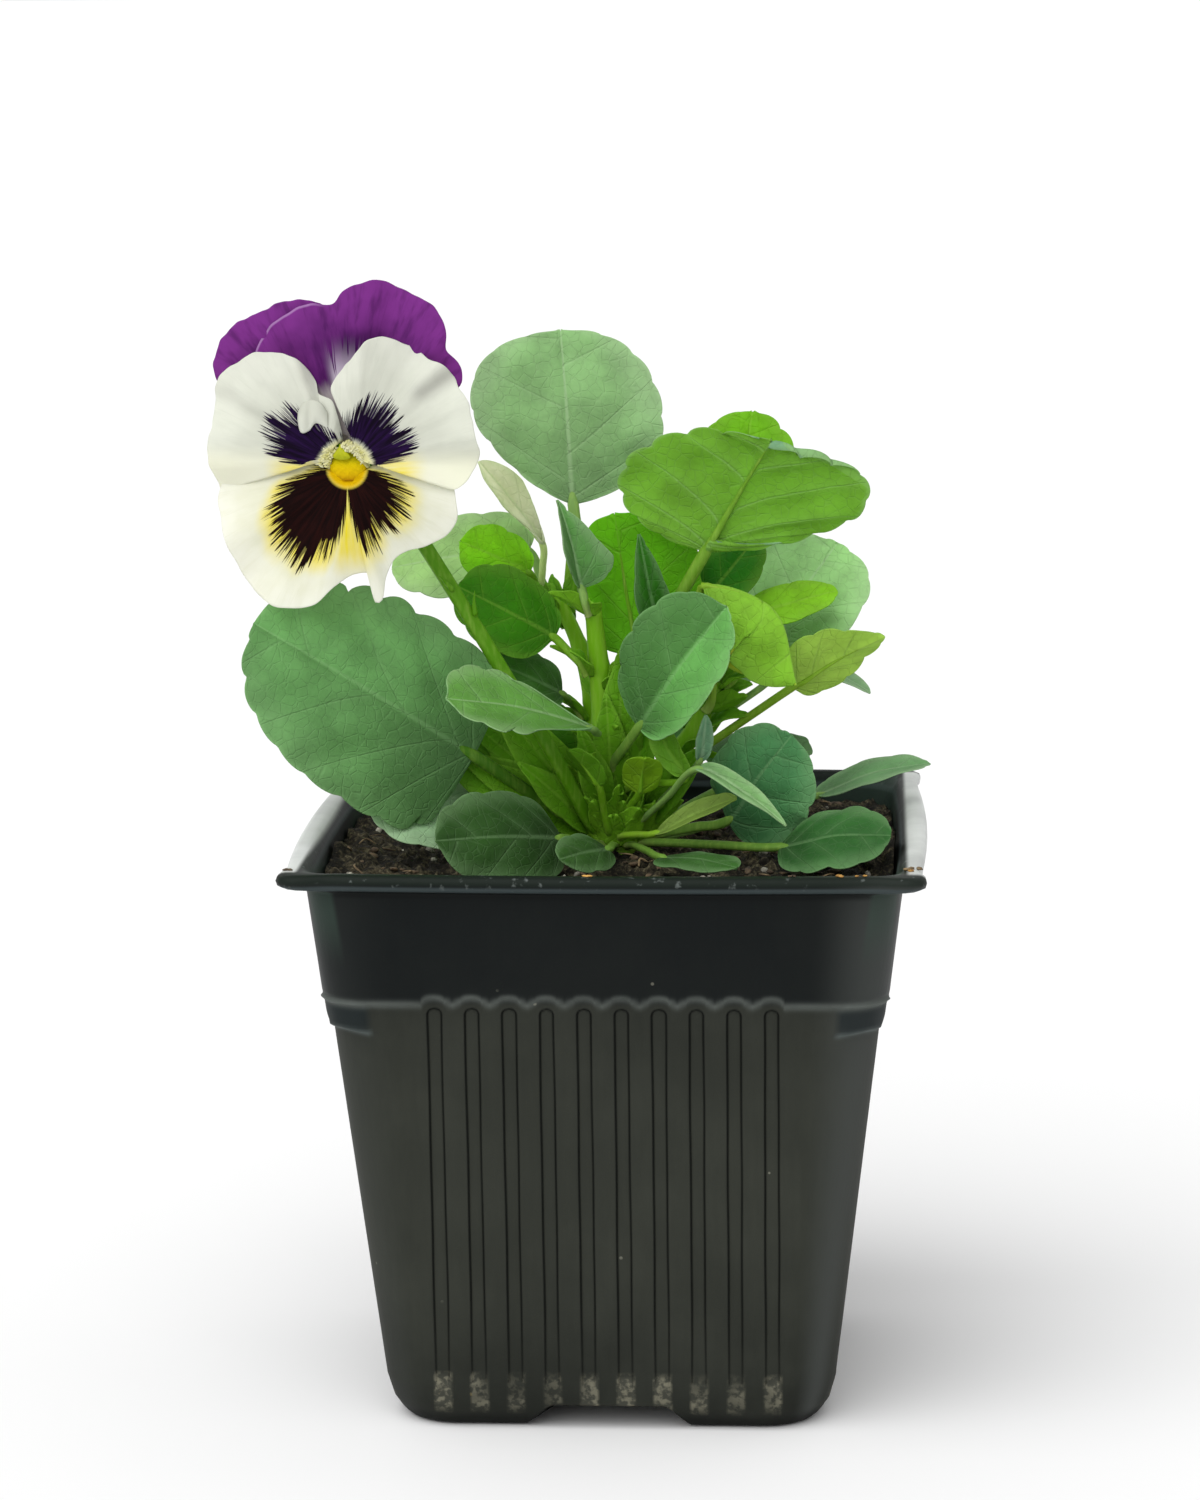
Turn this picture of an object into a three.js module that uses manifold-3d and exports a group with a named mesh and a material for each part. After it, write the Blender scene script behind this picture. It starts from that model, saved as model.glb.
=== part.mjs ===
// A pansy in bloom in a square plastic nursery pot.
// Millimetres, +Z up. The front of the pot faces -Y and +X is to its right.
// The origin is the middle of the pot's underside, which rests on z = 0.

import * as THREE from 'three';
import { mergeVertices } from 'three/addons/utils/BufferGeometryUtils.js';
import Module from 'manifold-3d';

const wasm = await Module();
wasm.setup();

// Points of one solid that are nearer than this are one point.
const SAME_POINT = 1e-4;

// ---------------------------------------------------------------- pot sizes
const POT_HEIGHT = 85;
const SIDES = 4;
const FLOOR_TOP = 5.6;
const PANEL_BOTTOM = 6.4;
const PANEL_BOTTOM_HALF = 33.2;
const PANEL_TOP = 65;
const PANEL_TOP_HALF = 39.9;
const MOUTH_CUT = 2;

// Outside of the pot from the table up: height, half width, corner radius, the outward
// bow of each side at its middle, and how far the rim's corners flare past their arcs.
const POT_OUTSIDE = [
  { z: 0, half: 29, corner: 7, bow: 0 },
  { z: 1, half: 31, corner: 8.6, bow: 0 },
  { z: 3, half: 32.3, corner: 9.6, bow: 0 },
  { z: PANEL_BOTTOM, half: PANEL_BOTTOM_HALF, corner: 9.6, bow: 0 },
  { z: PANEL_TOP, half: PANEL_TOP_HALF, corner: 8.4, bow: 0 },
  { z: 66, half: 40.8, corner: 8.2, bow: 0.1 },
  { z: 82.2, half: 42.8, corner: 7.6, bow: 0.8 },
  { z: 82.8, half: 44.5, corner: 6.6, bow: 1.2, flare: 1.6 },
  { z: 83.8, half: 45.2, corner: 6, bow: 1.3, flare: 2.6 },
  { z: 84.7, half: 44.9, corner: 6, bow: 1.3, flare: 2.6 },
  { z: POT_HEIGHT, half: 44.3, corner: 6, bow: 1.3, flare: 2.2 },
];
// Inside of the pot from its floor up, past the top so that the mouth is open.
const POT_INSIDE = [
  { z: FLOOR_TOP, half: 30.8, corner: 8, bow: 0 },
  { z: 8, half: 32, corner: 8.3, bow: 0 },
  { z: 64.6, half: 38.5, corner: 7.2, bow: 0 },
  { z: 66.4, half: 39.4, corner: 7, bow: 0.1 },
  { z: 82.6, half: 41.5, corner: 6.2, bow: 0.8 },
  { z: POT_HEIGHT + MOUTH_CUT, half: 42.6, corner: 6, bow: 1.2 },
];
const CORNER_STEPS = 4;
const SIDE_STEPS = 4;

const GROOVE_COUNT = 10;
const GROOVE_PITCH = 5.35;
const GROOVE_WIDTH = 2.2;
const GROOVE_DEPTH = 0.6;
const GROOVE_BOTTOM = 7;
const GROOVE_TOP = 64.8;
const GROOVE_HEAD_STEPS = 3;
const CUT = 3;

const LUG_BOTTOM = 60.4;
const LUG_TOP = 65.6;
const LUG_HALF = 40.7;
const LUG_SLANT = 0.9;
const LUG_CORNER = 8.2;
const LUG_REACH = 7;

const NOTCH_WIDTH = 26;
const NOTCH_SHOULDER = 5;
const NOTCH_HEIGHT = 3.8;
const NOTCH_REACH = 12;
const DRAIN_RADIUS = 3.5;
const DRAIN_OFFSET = 26;
const DRAIN_SIDES = 12;

// ---------------------------------------------------------------- soil sizes
const SOIL_GAP = 0.3;
const SOIL_TOP = 80.6;
const SOIL_RINGS = [0.86, 0.7, 0.54, 0.38, 0.22];
const SOIL_HEAPS = [
  { x: 44, y: -12, height: 4.2, spread: 9 },
  { x: -44, y: -12, height: 1.6, spread: 8 },
  { x: -24, y: 26, height: -1.2, spread: 12 },
];
const SOIL_RIPPLE = { height: 0.35, alongX: 0.5, alongY: 0.43 };

// ---------------------------------------------------------------- plant sizes
const SEAT = 0.35;
const CROWN = { center: new THREE.Vector3(0, 0, 80.6), radius: 5.2, height: 5.6, around: 14 };
const ROUND_SIDES = 8;
const BRANCH_STEPS = 8;
// Branches that rise from the crown: points along the middle and the radius at each.
const BRANCHES = {
  centre: {
    points: [[0, -1, 84], [-1, -3, 94], [-2, -4, 106], [-3, -6, 118]],
    radii: [2.4, 2.1, 1.7, 1.2],
  },
  right: {
    points: [[2.5, 1, 84], [7, 1, 92], [12, 1, 99], [15, 1, 106]],
    radii: [2, 1.7, 1.4, 1.1],
  },
  left: {
    points: [[-2, 3, 84], [-3, 5, 95], [-5, 6, 108], [-9, 6, 118]],
    radii: [1.9, 1.6, 1.3, 1],
  },
};

// Half width of a leaf stalk: a least width and a share of the blade's width.
const STALK_LEAST = 0.5;
const STALK_SHARE = 0.013;
const PETIOLE_STEPS = 4;
const BLADE_STEPS = 7;
const BLADE_HALF_THICK = 0.3;
const BLADE_ROUNDNESS = 2.2;
// Share of the blade over which it thins from the stalk's thickness to its own.
const BLADE_THINNING = 0.25;
const TIP_HALF = 0.5;
const STALK_START = 2;

// Leaves. seat is where the leaf stalk joins the plant: a part of the plant, then for
// the crown its compass angle and slope in degrees, or for a branch the share of its
// length and the compass angle. neck and tip are the ends of the blade's midrib, width
// is the blade's, face points out of its upper side, belly is the place of the widest
// part from neck to tip, bow lifts the middle of the midrib, cup lifts the margins and
// skew, if there is one, slides them along the midrib to opposite sides.
const LEAVES = {
  left_large: {
    seat: ['crown', 208, 32], neck: [-24, -12, 98], tip: [-51, -24, 118], width: 34,
    face: [-0.3, -0.8, 0.5], belly: 0.42, bow: 2, cup: -1, tone: 'dark',
  },
  left_low: {
    seat: ['crown', 186, 16], neck: [-20.5, -5, 88], tip: [-36.5, -14, 93], width: 17,
    face: [0, -0.7, 0.7], belly: 0.5, bow: 1, cup: -0.5, tone: 'glaucous',
  },
  front_left_low: {
    seat: ['crown', 248, 14], neck: [-7, -21, 86], tip: [-24, -34, 88], width: 15,
    face: [0.2, -0.9, 0.6], belly: 0.5, bow: 1, cup: -0.5, tone: 'dark',
  },
  front_small: {
    seat: ['crown', 270, 14], neck: [0, -24, 85], tip: [-6, -37, 86], width: 7,
    face: [0.2, -0.8, 0.6], belly: 0.5, bow: 0.5, cup: -0.3, tone: 'dark',
  },
  front_right_low: {
    seat: ['crown', 291, 14], neck: [8, -25, 84], tip: [19, -35, 84.5], width: 8,
    face: [0, -0.2, 1], belly: 0.5, bow: 0.5, cup: -0.3, tone: 'dark',
  },
  right_low: {
    seat: ['crown', 314, 14], neck: [25, -19, 84.5], tip: [41, -23, 87], width: 14,
    face: [0, -0.6, 1], belly: 0.5, bow: 1, cup: -0.5, tone: 'dark',
  },
  right_rim: {
    seat: ['crown', 22, 8], neck: [30, 13, 86.5], tip: [47, 16, 91], width: 9,
    face: [-0.1, -0.2, 1], belly: 0.5, bow: 1, cup: 0.5, tone: 'glaucous',
  },
  right_round: {
    seat: ['crown', 340, 20], neck: [17, -9, 86.5], tip: [26.5, -13, 100], width: 17.5,
    face: [-0.2, -1, 0.3], belly: 0.5, bow: 1, cup: -0.6, tone: 'dark',
  },
  right_pointed: {
    seat: ['crown', 300, 35], neck: [13, -19, 96], tip: [26, -26, 89], width: 5,
    face: [0.2, -0.6, 0.8], belly: 0.45, bow: 1, cup: 0.4, tone: 'glaucous',
  },
  middle_right: {
    seat: ['centre', 0.3, 285], neck: [4, -12, 101], tip: [17, -18, 119.5], width: 17,
    face: [-0.2, -0.9, 0.2], belly: 0.48, bow: 1.5, cup: 1.2, tone: 'dark',
  },
  right_folded: {
    seat: ['right', 0.8, 280], neck: [13.6, -8, 121.4], tip: [27.2, -9, 106.9], width: 7,
    face: [0.6, -0.3, 0.7], belly: 0.5, bow: 5.6, cup: -9, tone: 'yellow',
  },
  right_outer: {
    seat: ['right', 0.5, 330], neck: [26.5, -2, 105.5], tip: [40, -4, 113.5], width: 12,
    face: [-0.3, 0.7, 0.6], belly: 0.42, bow: 0.6, cup: 0.4, tone: 'yellow',
  },
  right_outer_small: {
    seat: ['right', 0.97, 0], neck: [20, 3, 115], tip: [33, 5, 119], width: 7,
    face: [-0.2, -0.7, 0.6], belly: 0.45, bow: 0.6, cup: 0.2, tone: 'bright',
  },
  right_back: {
    seat: ['right', 0.9, 60], neck: [23, 9, 110], tip: [33, 15, 125], width: 18,
    face: [-0.3, -0.8, 0.4], belly: 0.5, bow: 1, cup: -0.4, tone: 'glaucous',
  },
  right_inner: {
    seat: ['right', 0.97, 180], neck: [13, 2, 117], tip: [21, 6, 127], width: 9,
    face: [-0.2, -0.9, 0.2], belly: 0.5, bow: 0.6, cup: 0.3, tone: 'dark',
  },
  top_fan: {
    seat: ['centre', 0.55, 340], neck: [13.2, -5, 125], tip: [23.6, -12, 143.3], width: 33.5,
    face: [0.15, 0.9, 0.35], belly: 0.58, bow: 1.5, cup: 0.6, skew: 0.4, tone: 'yellow',
  },
  top_behind_fan: {
    seat: ['right', 0.97, 90], neck: [18, 12, 130], tip: [20, 17, 144.7], width: 15,
    face: [0, -0.9, 0.3], belly: 0.5, bow: 0.6, cup: 0.4, tone: 'bright',
  },
  top_pale: {
    seat: ['centre', 0.6, 90], neck: [-6.5, 5, 132], tip: [-8.5, 10, 157.5], width: 28.5,
    face: [0.1, -0.95, 0.2], belly: 0.55, bow: 1, cup: 0.5, tone: 'glaucous',
  },
  centre_folded: {
    seat: ['centre', 0.98, 250], neck: [-4, -8, 121], tip: [-7, -9, 134], width: 9,
    face: [0.5, -0.8, 0.3], belly: 0.5, bow: 0.5, cup: 1.5, tone: 'glaucous',
  },
  centre_bright: {
    seat: ['centre', 0.6, 20], neck: [3, -2, 110], tip: [0, 0, 131], width: 12,
    face: [0, 0.9, 0.2], belly: 0.55, bow: 0.5, cup: 0.6, tone: 'bright',
  },
  centre_inner: {
    seat: ['centre', 0.66, 320], neck: [6.5, -7.5, 113.5], tip: [4, -8, 129], width: 6.5,
    face: [0.3, -0.9, 0.2], belly: 0.4, bow: 0.4, cup: 0.8, tone: 'dark',
  },
  left_bright: {
    seat: ['left', 0.95, 200], neck: [-13, 2, 122], tip: [-23, 0, 127], width: 9,
    face: [0, -0.9, 0.4], belly: 0.55, bow: 0.5, cup: 0.3, tone: 'bright',
  },
  left_middle: {
    seat: ['centre', 0.72, 200], neck: [-9, -3, 113], tip: [-23, -6, 121], width: 13,
    face: [0.2, -0.9, 0.4], belly: 0.55, bow: 0.6, cup: 0.3, tone: 'bright',
  },
  left_back: {
    seat: ['left', 0.85, 130], neck: [-14, 13, 124], tip: [-35, 16, 121], width: 14,
    face: [0, -0.8, 0.6], belly: 0.5, bow: 1, cup: 0.3, tone: 'glaucous',
  },
  left_folded: {
    seat: ['centre', 0.42, 262], neck: [-3, -13, 101], tip: [-23, -24, 107], width: 11,
    face: [0.2, -0.4, 0.9], belly: 0.55, bow: 1, cup: 1.8, tone: 'glaucous',
  },
  left_shade: {
    seat: ['left', 0.45, 200], neck: [-8, 0, 104], tip: [-20, -4, 110], width: 9,
    face: [0.1, -0.7, 0.7], belly: 0.5, bow: 0.6, cup: 0.4, tone: 'dark',
  },
  left_tall: {
    seat: ['left', 0.98, 150], neck: [-11, 4, 126], tip: [-20, -1, 139], width: 5,
    face: [0.7, -0.5, 0.5], belly: 0.5, bow: 0.4, cup: 0.8, tone: 'yellow',
  },
  young_left: {
    seat: ['crown', 262, 30], neck: [-2, -11, 92], tip: [-6, -14, 98], width: 5,
    face: [0.2, 0.6, 0.8], belly: 0.5, bow: 0.3, cup: 0.6, tone: 'bright',
  },
  young_right: {
    seat: ['crown', 283, 45], neck: [4, -11, 91], tip: [5, -15, 97], width: 6,
    face: [0, 0.7, 0.7], belly: 0.5, bow: 0.3, cup: 0.6, tone: 'bright',
  },
  young_blue: {
    seat: ['crown', 322, 42], neck: [13, -12, 96], tip: [14, -14, 103], width: 3,
    face: [0.4, -0.8, 0.3], belly: 0.5, bow: 0.2, cup: 0.5, tone: 'glaucous',
  },
  low_left_wing: {
    seat: ['centre', 0.17, 200], neck: [-4.6, -3.4, 92.4], tip: [-12.7, -5.6, 101], width: 8,
    face: [0.1, -0.9, 0.3], belly: 0.6, bow: 0.4, cup: 0.6, tone: 'bright',
  },
  low_left_inner: {
    seat: ['crown', 180, 42], neck: [-8.5, -0.5, 89], tip: [-20.2, -3, 98.5], width: 6,
    face: [0, -0.9, 0.4], belly: 0.55, bow: 0.4, cup: 0.6, tone: 'bright',
  },
  low_right_wing: {
    seat: ['centre', 0.16, 310], neck: [10.8, -12.6, 93.5], tip: [6, -9.6, 101.5], width: 4.5,
    face: [-0.2, -0.9, -0.1], belly: 0.6, bow: 0.4, cup: 0.6, tone: 'bright',
  },
  low_right_inner: {
    seat: ['crown', 279, 24], neck: [6.5, -14.5, 85.6], tip: [18.4, -19, 91.7], width: 4,
    face: [0, -0.6, 0.8], belly: 0.6, bow: 0.4, cup: 0.8, tone: 'yellow',
  },
  right_far: {
    seat: ['right', 0.7, 20], neck: [27, 6, 108], tip: [38, 6, 103.5], width: 5,
    face: [0, -0.3, 1], belly: 0.5, bow: 0.8, cup: 0.3, tone: 'glaucous',
  },
  back_left: {
    seat: ['crown', 150, 18], neck: [-17, 19, 92], tip: [-32, 31, 100], width: 19,
    face: [-0.2, 0.4, 0.9], belly: 0.5, bow: 1.5, cup: -0.8, tone: 'dark',
  },
  back_middle: {
    seat: ['crown', 92, 30], neck: [3, 20, 94], tip: [6, 36, 104], width: 19,
    face: [0, -0.3, 1], belly: 0.5, bow: 1.5, cup: -0.8, tone: 'dark',
  },
  back_right: {
    seat: ['crown', 55, 12], neck: [17, 18, 88], tip: [25, 32, 93], width: 16,
    face: [0, -0.2, 1], belly: 0.5, bow: 1.5, cup: -0.6, tone: 'dark',
  },
  back_high_right: {
    seat: ['right', 0.6, 100], neck: [13, 15, 103], tip: [17, 30, 114], width: 16,
    face: [0, -0.5, 0.9], belly: 0.5, bow: 1, cup: -0.5, tone: 'glaucous',
  },
  back_tall: {
    seat: ['left', 0.9, 60], neck: [-7, 15, 131], tip: [-10, 25, 149], width: 14,
    face: [0, -0.8, 0.5], belly: 0.5, bow: 1, cup: -0.5, tone: 'bright',
  },
  back_high_left: {
    seat: ['left', 0.4, 140], neck: [-17, 18, 99], tip: [-35, 25, 104], width: 15,
    face: [-0.2, -0.4, 0.9], belly: 0.5, bow: 1, cup: -0.5, tone: 'dark',
  },
};

// Flower, in its own frame: x to its right, y up along its face, z out of its face.
const FLOWER_CENTER = [-36.9, -26, 140.7];
const FLOWER_TURN = { tilt: 86, swing: -6 };
const RECEPTACLE_RADIUS = 1.7;
const PETAL_STEPS = 8;
const PETAL_HALF_THICK = 0.2;
const CLAW_HALF = 0.7;
const PETAL_BELLY = 0.5;
const CLAW_OUT = 2.4;
const CLAW_BACK = -3.6;
const CLAW_BEND = { out: 2.9, below: 1 };
// Petals: claw angle in degrees round the receptacle, neck, belly and tip of the blade
// with the height of each over the flower's middle plane, and the blade's width.
const PETALS = {
  upper_left: {
    angle: 127, neck: [-3.1, 4, -3.2], middle: [-8.5, 12.5, -3.8], tip: [-15, 22, -5],
    width: 19, cup: 0.6,
  },
  upper_right: {
    angle: 70, neck: [0.6, 4.4, -2], middle: [1.6, 15, -2.4], tip: [2.6, 26.5, -3.4],
    width: 29, cup: 0.6,
  },
  lower: {
    angle: 270, neck: [0, -1.8, -0.8], middle: [-1.8, -9.5, -1.2], tip: [-4, -20, -2.4],
    width: 34, cup: -0.6,
  },
  side_left: {
    angle: 180, neck: [-3, 1.6, 0.4], middle: [-10, 6.6, 0.4], tip: [-19.6, 8, -0.8],
    width: 19, cup: -0.5,
  },
  side_right: {
    angle: 15, neck: [3, 1.9, 0.8], middle: [10, 6.8, 0.9], tip: [19.2, 8, -0.4],
    width: 22, cup: -0.5,
  },
};
// Outline of the pistil and anthers: distance from the axis and height.
const COLUMN_PROFILE = [[0, -3], [1, -3], [1.3, -1.6], [0.8, 0], [1.2, 1], [1.1, 2], [0, 2.5]];
const COLUMN_SIDES = 10;
const SEPAL_COUNT = 5;
const SEPAL = {
  length: 11, width: 4.4, belly: 0.35, start: 2.1, back: -5.6, middleDroop: 0.5, tipDroop: 1.5,
  steps: 6, cup: 0.3,
};
// Flower stalk: its seat, points along it, and its end in the flower's frame, where it
// widens into the receptacle.
const STALK = {
  seat: ['crown', 236, 36],
  points: [[-8.4, -10.5, 96], [-17, -12, 111], [-27, -14, 128], [-33, -13.5, 137]],
  end: [[0, 1, -9], [0, 0, -5.8], [0, 0, -3.4]],
  radius: 1.1,
  widens: 0.9,
  steps: 16,
};

// ---------------------------------------------------------------- finishes
const POT_FINISH = { color: 0x242a2a, roughness: 0.45, metalness: 0 };
const SOIL_FINISH = { color: 0x2e2119, roughness: 0.95, metalness: 0 };
const STEM_FINISH = { color: 0x7fa63a, roughness: 0.5, metalness: 0 };
const LEAF_FINISH = {
  dark: { color: 0x3a7440, roughness: 0.5, metalness: 0 },
  glaucous: { color: 0x8fbd88, roughness: 0.55, metalness: 0 },
  bright: { color: 0x5c9c28, roughness: 0.45, metalness: 0 },
  yellow: { color: 0x84b03a, roughness: 0.45, metalness: 0 },
};
const PURPLE_FINISH = { color: 0x6d1a86, roughness: 0.6, metalness: 0 };
const WHITE_FINISH = { color: 0xe9ece2, roughness: 0.6, metalness: 0 };
const CREAM_FINISH = { color: 0xf1efc4, roughness: 0.6, metalness: 0 };
const EYE_FINISH = { color: 0xb9c04a, roughness: 0.5, metalness: 0 };

// ---------------------------------------------------------------- helpers
const degrees = (angle) => THREE.MathUtils.degToRad(angle);
const vector = (list) => new THREE.Vector3(...list);
const compass = (angle) => new THREE.Vector3(Math.cos(degrees(angle)), Math.sin(degrees(angle)), 0);

function toSolid(geometry) {
  const bare = new THREE.BufferGeometry();
  bare.setAttribute('position', geometry.getAttribute('position'));
  if (geometry.index) bare.setIndex(geometry.index);
  const merged = mergeVertices(bare, SAME_POINT);
  return new wasm.Manifold(new wasm.Mesh({
    numProp: 3,
    vertProperties: new Float32Array(merged.getAttribute('position').array),
    triVerts: new Uint32Array(merged.index.array),
  }));
}

function toGeometry(solid) {
  const mesh = solid.getMesh();
  const geometry = new THREE.BufferGeometry();
  geometry.setAttribute('position', new THREE.BufferAttribute(mesh.vertProperties, 3));
  geometry.setIndex(new THREE.BufferAttribute(mesh.triVerts, 1));
  return geometry;
}

// Skins a row of closed rings, each with the same number of points, and closes the
// first and the last ring with a fan. Turns the faces out if they point in.
function skin(rings) {
  const count = rings[0].length;
  const positions = rings.flat().flatMap((point) => [point.x, point.y, point.z]);
  const index = [];
  for (let row = 0; row < rings.length - 1; row += 1) {
    for (let i = 0; i < count; i += 1) {
      const a = row * count + i;
      const b = row * count + ((i + 1) % count);
      index.push(a, b, b + count, a, b + count, a + count);
    }
  }
  const last = (rings.length - 1) * count;
  for (let i = 1; i < count - 1; i += 1) {
    index.push(0, i + 1, i);
    index.push(last, last + i, last + i + 1);
  }
  if (enclosedVolume(positions, index) < 0) {
    index.reverse();
  }
  const geometry = new THREE.BufferGeometry();
  geometry.setAttribute('position', new THREE.Float32BufferAttribute(positions, 3));
  geometry.setIndex(index);
  return geometry;
}

function enclosedVolume(positions, index) {
  const corner = (i) => new THREE.Vector3().fromArray(positions, index[i] * 3);
  let volume = 0;
  for (let i = 0; i < index.length; i += 3) {
    volume += corner(i).dot(corner(i + 1).cross(corner(i + 2))) / 6;
  }
  return volume;
}

// ---------------------------------------------------------------- pot
// One level of a square with round corners whose sides bow outward at their middles.
function squareRing({ z, half, corner, bow, flare = 0 }) {
  const ring = [];
  for (let side = 0; side < SIDES; side += 1) {
    const turn = degrees(90 * side);
    const place = (out, along) => ring.push(new THREE.Vector3(out, along, z)
      .applyAxisAngle(new THREE.Vector3(0, 0, 1), turn));
    const reach = half - corner;
    for (let step = 0; step <= SIDE_STEPS; step += 1) {
      const share = (2 * step) / SIDE_STEPS - 1;
      place(half + bow * (1 - share * share), reach * share);
    }
    for (let step = 1; step < CORNER_STEPS; step += 1) {
      const angle = degrees((90 * step) / CORNER_STEPS);
      const push = flare * Math.SQRT1_2 * Math.sin(2 * angle);
      place(reach + corner * Math.cos(angle) + push, reach + corner * Math.sin(angle) + push);
    }
  }
  return ring;
}

const squareLoft = (levels) => toSolid(skin(levels.map(squareRing)));

const extrudeShape = (outline, depth) => new THREE.ExtrudeGeometry(
  new THREE.Shape(outline),
  { depth, bevelEnabled: false },
);

// A groove's outline with a round head, cut into the leaning side of the pot.
function grooveCutter(offset) {
  const radius = GROOVE_WIDTH / 2;
  const length = GROOVE_TOP - GROOVE_BOTTOM;
  const outline = [new THREE.Vector2(-radius, 0), new THREE.Vector2(radius, 0)];
  for (let step = 0; step <= GROOVE_HEAD_STEPS; step += 1) {
    const angle = Math.PI * (step / GROOVE_HEAD_STEPS);
    outline.push(new THREE.Vector2(
      radius * Math.cos(angle),
      length - radius + radius * Math.sin(angle),
    ));
  }
  const lean = (PANEL_TOP_HALF - PANEL_BOTTOM_HALF) / (PANEL_TOP - PANEL_BOTTOM);
  const wall = PANEL_BOTTOM_HALF + lean * (GROOVE_BOTTOM - PANEL_BOTTOM);
  const geometry = extrudeShape(outline, CUT);
  geometry.rotateX(Math.PI / 2 + Math.atan(lean));
  geometry.translate(offset, -(wall - GROOVE_DEPTH), GROOVE_BOTTOM);
  return toSolid(geometry);
}

// The low arch under the middle of a side, open outward.
function notchCutter() {
  const half = NOTCH_WIDTH / 2;
  const outline = [
    new THREE.Vector2(-half, -CUT),
    new THREE.Vector2(half, -CUT),
    new THREE.Vector2(half, 0),
    new THREE.Vector2(half - NOTCH_SHOULDER, NOTCH_HEIGHT),
    new THREE.Vector2(NOTCH_SHOULDER - half, NOTCH_HEIGHT),
    new THREE.Vector2(-half, 0),
  ];
  const geometry = extrudeShape(outline, PANEL_BOTTOM_HALF);
  geometry.rotateX(Math.PI / 2);
  geometry.translate(0, NOTCH_REACH - PANEL_BOTTOM_HALF, 0);
  return toSolid(geometry);
}

function drainCutter() {
  const length = 2 * (FLOOR_TOP + CUT);
  const geometry = new THREE.CylinderGeometry(DRAIN_RADIUS, DRAIN_RADIUS, length, DRAIN_SIDES);
  geometry.rotateX(Math.PI / 2);
  geometry.translate(0, -DRAIN_OFFSET, 0);
  return toSolid(geometry);
}

// The collar's corners reach a little lower than its sides.
function cornerLugs() {
  const collar = squareLoft([
    { z: LUG_BOTTOM, half: LUG_HALF - LUG_SLANT, corner: LUG_CORNER, bow: 0 },
    { z: LUG_BOTTOM + LUG_SLANT, half: LUG_HALF, corner: LUG_CORNER, bow: 0 },
    { z: LUG_TOP, half: LUG_HALF, corner: LUG_CORNER, bow: 0 },
  ]);
  const gap = 2 * (LUG_HALF - LUG_REACH);
  const long = 4 * LUG_HALF;
  const tall = LUG_TOP;
  const across = new THREE.BoxGeometry(long, gap, tall).translate(0, 0, LUG_TOP);
  const along = new THREE.BoxGeometry(gap, long, tall).translate(0, 0, LUG_TOP);
  return collar.subtract(toSolid(across)).subtract(toSolid(along));
}

function makePot() {
  let solid = squareLoft(POT_OUTSIDE).add(cornerLugs());
  for (let side = 0; side < SIDES; side += 1) {
    const turned = (cutter) => cutter.rotate([0, 0, 90 * side]);
    solid = solid.subtract(turned(notchCutter()));
    solid = solid.subtract(turned(drainCutter()));
    for (let groove = 0; groove < GROOVE_COUNT; groove += 1) {
      const offset = GROOVE_PITCH * (groove - (GROOVE_COUNT - 1) / 2);
      solid = solid.subtract(turned(grooveCutter(offset)));
    }
  }
  return toGeometry(solid.subtract(squareLoft(POT_INSIDE)));
}

// ---------------------------------------------------------------- soil
function soilHeight(x, y) {
  let height = SOIL_TOP;
  for (const heap of SOIL_HEAPS) {
    const distance = Math.hypot(x - heap.x, y - heap.y) / heap.spread;
    height += heap.height * Math.exp(-distance * distance);
  }
  return height
    + SOIL_RIPPLE.height * Math.sin(x * SOIL_RIPPLE.alongX) * Math.cos(y * SOIL_RIPPLE.alongY);
}

// The pot's inside at a height, between the levels it is given at.
function insideLevel(z) {
  const upper = Math.max(1, POT_INSIDE.findIndex((level) => level.z >= z));
  const low = POT_INSIDE[upper - 1];
  const high = POT_INSIDE[upper];
  const share = (z - low.z) / (high.z - low.z);
  const mix = (key) => low[key] + share * (high[key] - low[key]);
  return { z, half: mix('half') - SOIL_GAP, corner: mix('corner'), bow: mix('bow') };
}

function makeSoil() {
  const rings = POT_INSIDE.filter(({ z }) => z < SOIL_TOP).map(({ z }) => squareRing({
    ...insideLevel(z),
    z: Math.max(z, FLOOR_TOP + SOIL_GAP),
  }));
  const edge = squareRing(insideLevel(SOIL_TOP));
  for (const share of [1, ...SOIL_RINGS]) {
    rings.push(edge.map(({ x, y }) => new THREE.Vector3(
      x * share,
      y * share,
      soilHeight(x * share, y * share),
    )));
  }
  return toGeometry(toSolid(skin(rings)).subtract(crownBall(SEAT)));
}

// ---------------------------------------------------------------- plant
// Rings round a curve. shape(t) gives half width and half thickness, how far the margins
// rise and how far they slide along; face is the side that the thin direction looks to.
function ringsAlong(curve, stops, face, shape, sides) {
  return stops.map((t) => {
    const middle = curve.getPoint(t);
    const ahead = curve.getTangent(t);
    const across = new THREE.Vector3().crossVectors(ahead, face).normalize();
    const up = new THREE.Vector3().crossVectors(across, ahead).normalize();
    const { half, thick, rise, slide = 0 } = shape(t);
    return Array.from({ length: sides }, (_, i) => {
      const angle = (2 * Math.PI * i) / sides;
      const out = Math.cos(angle);
      return middle.clone()
        .addScaledVector(across, half * out)
        .addScaledVector(ahead, -slide * out)
        .addScaledVector(up, thick * Math.sin(angle) + rise * out * out);
    });
  });
}

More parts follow.
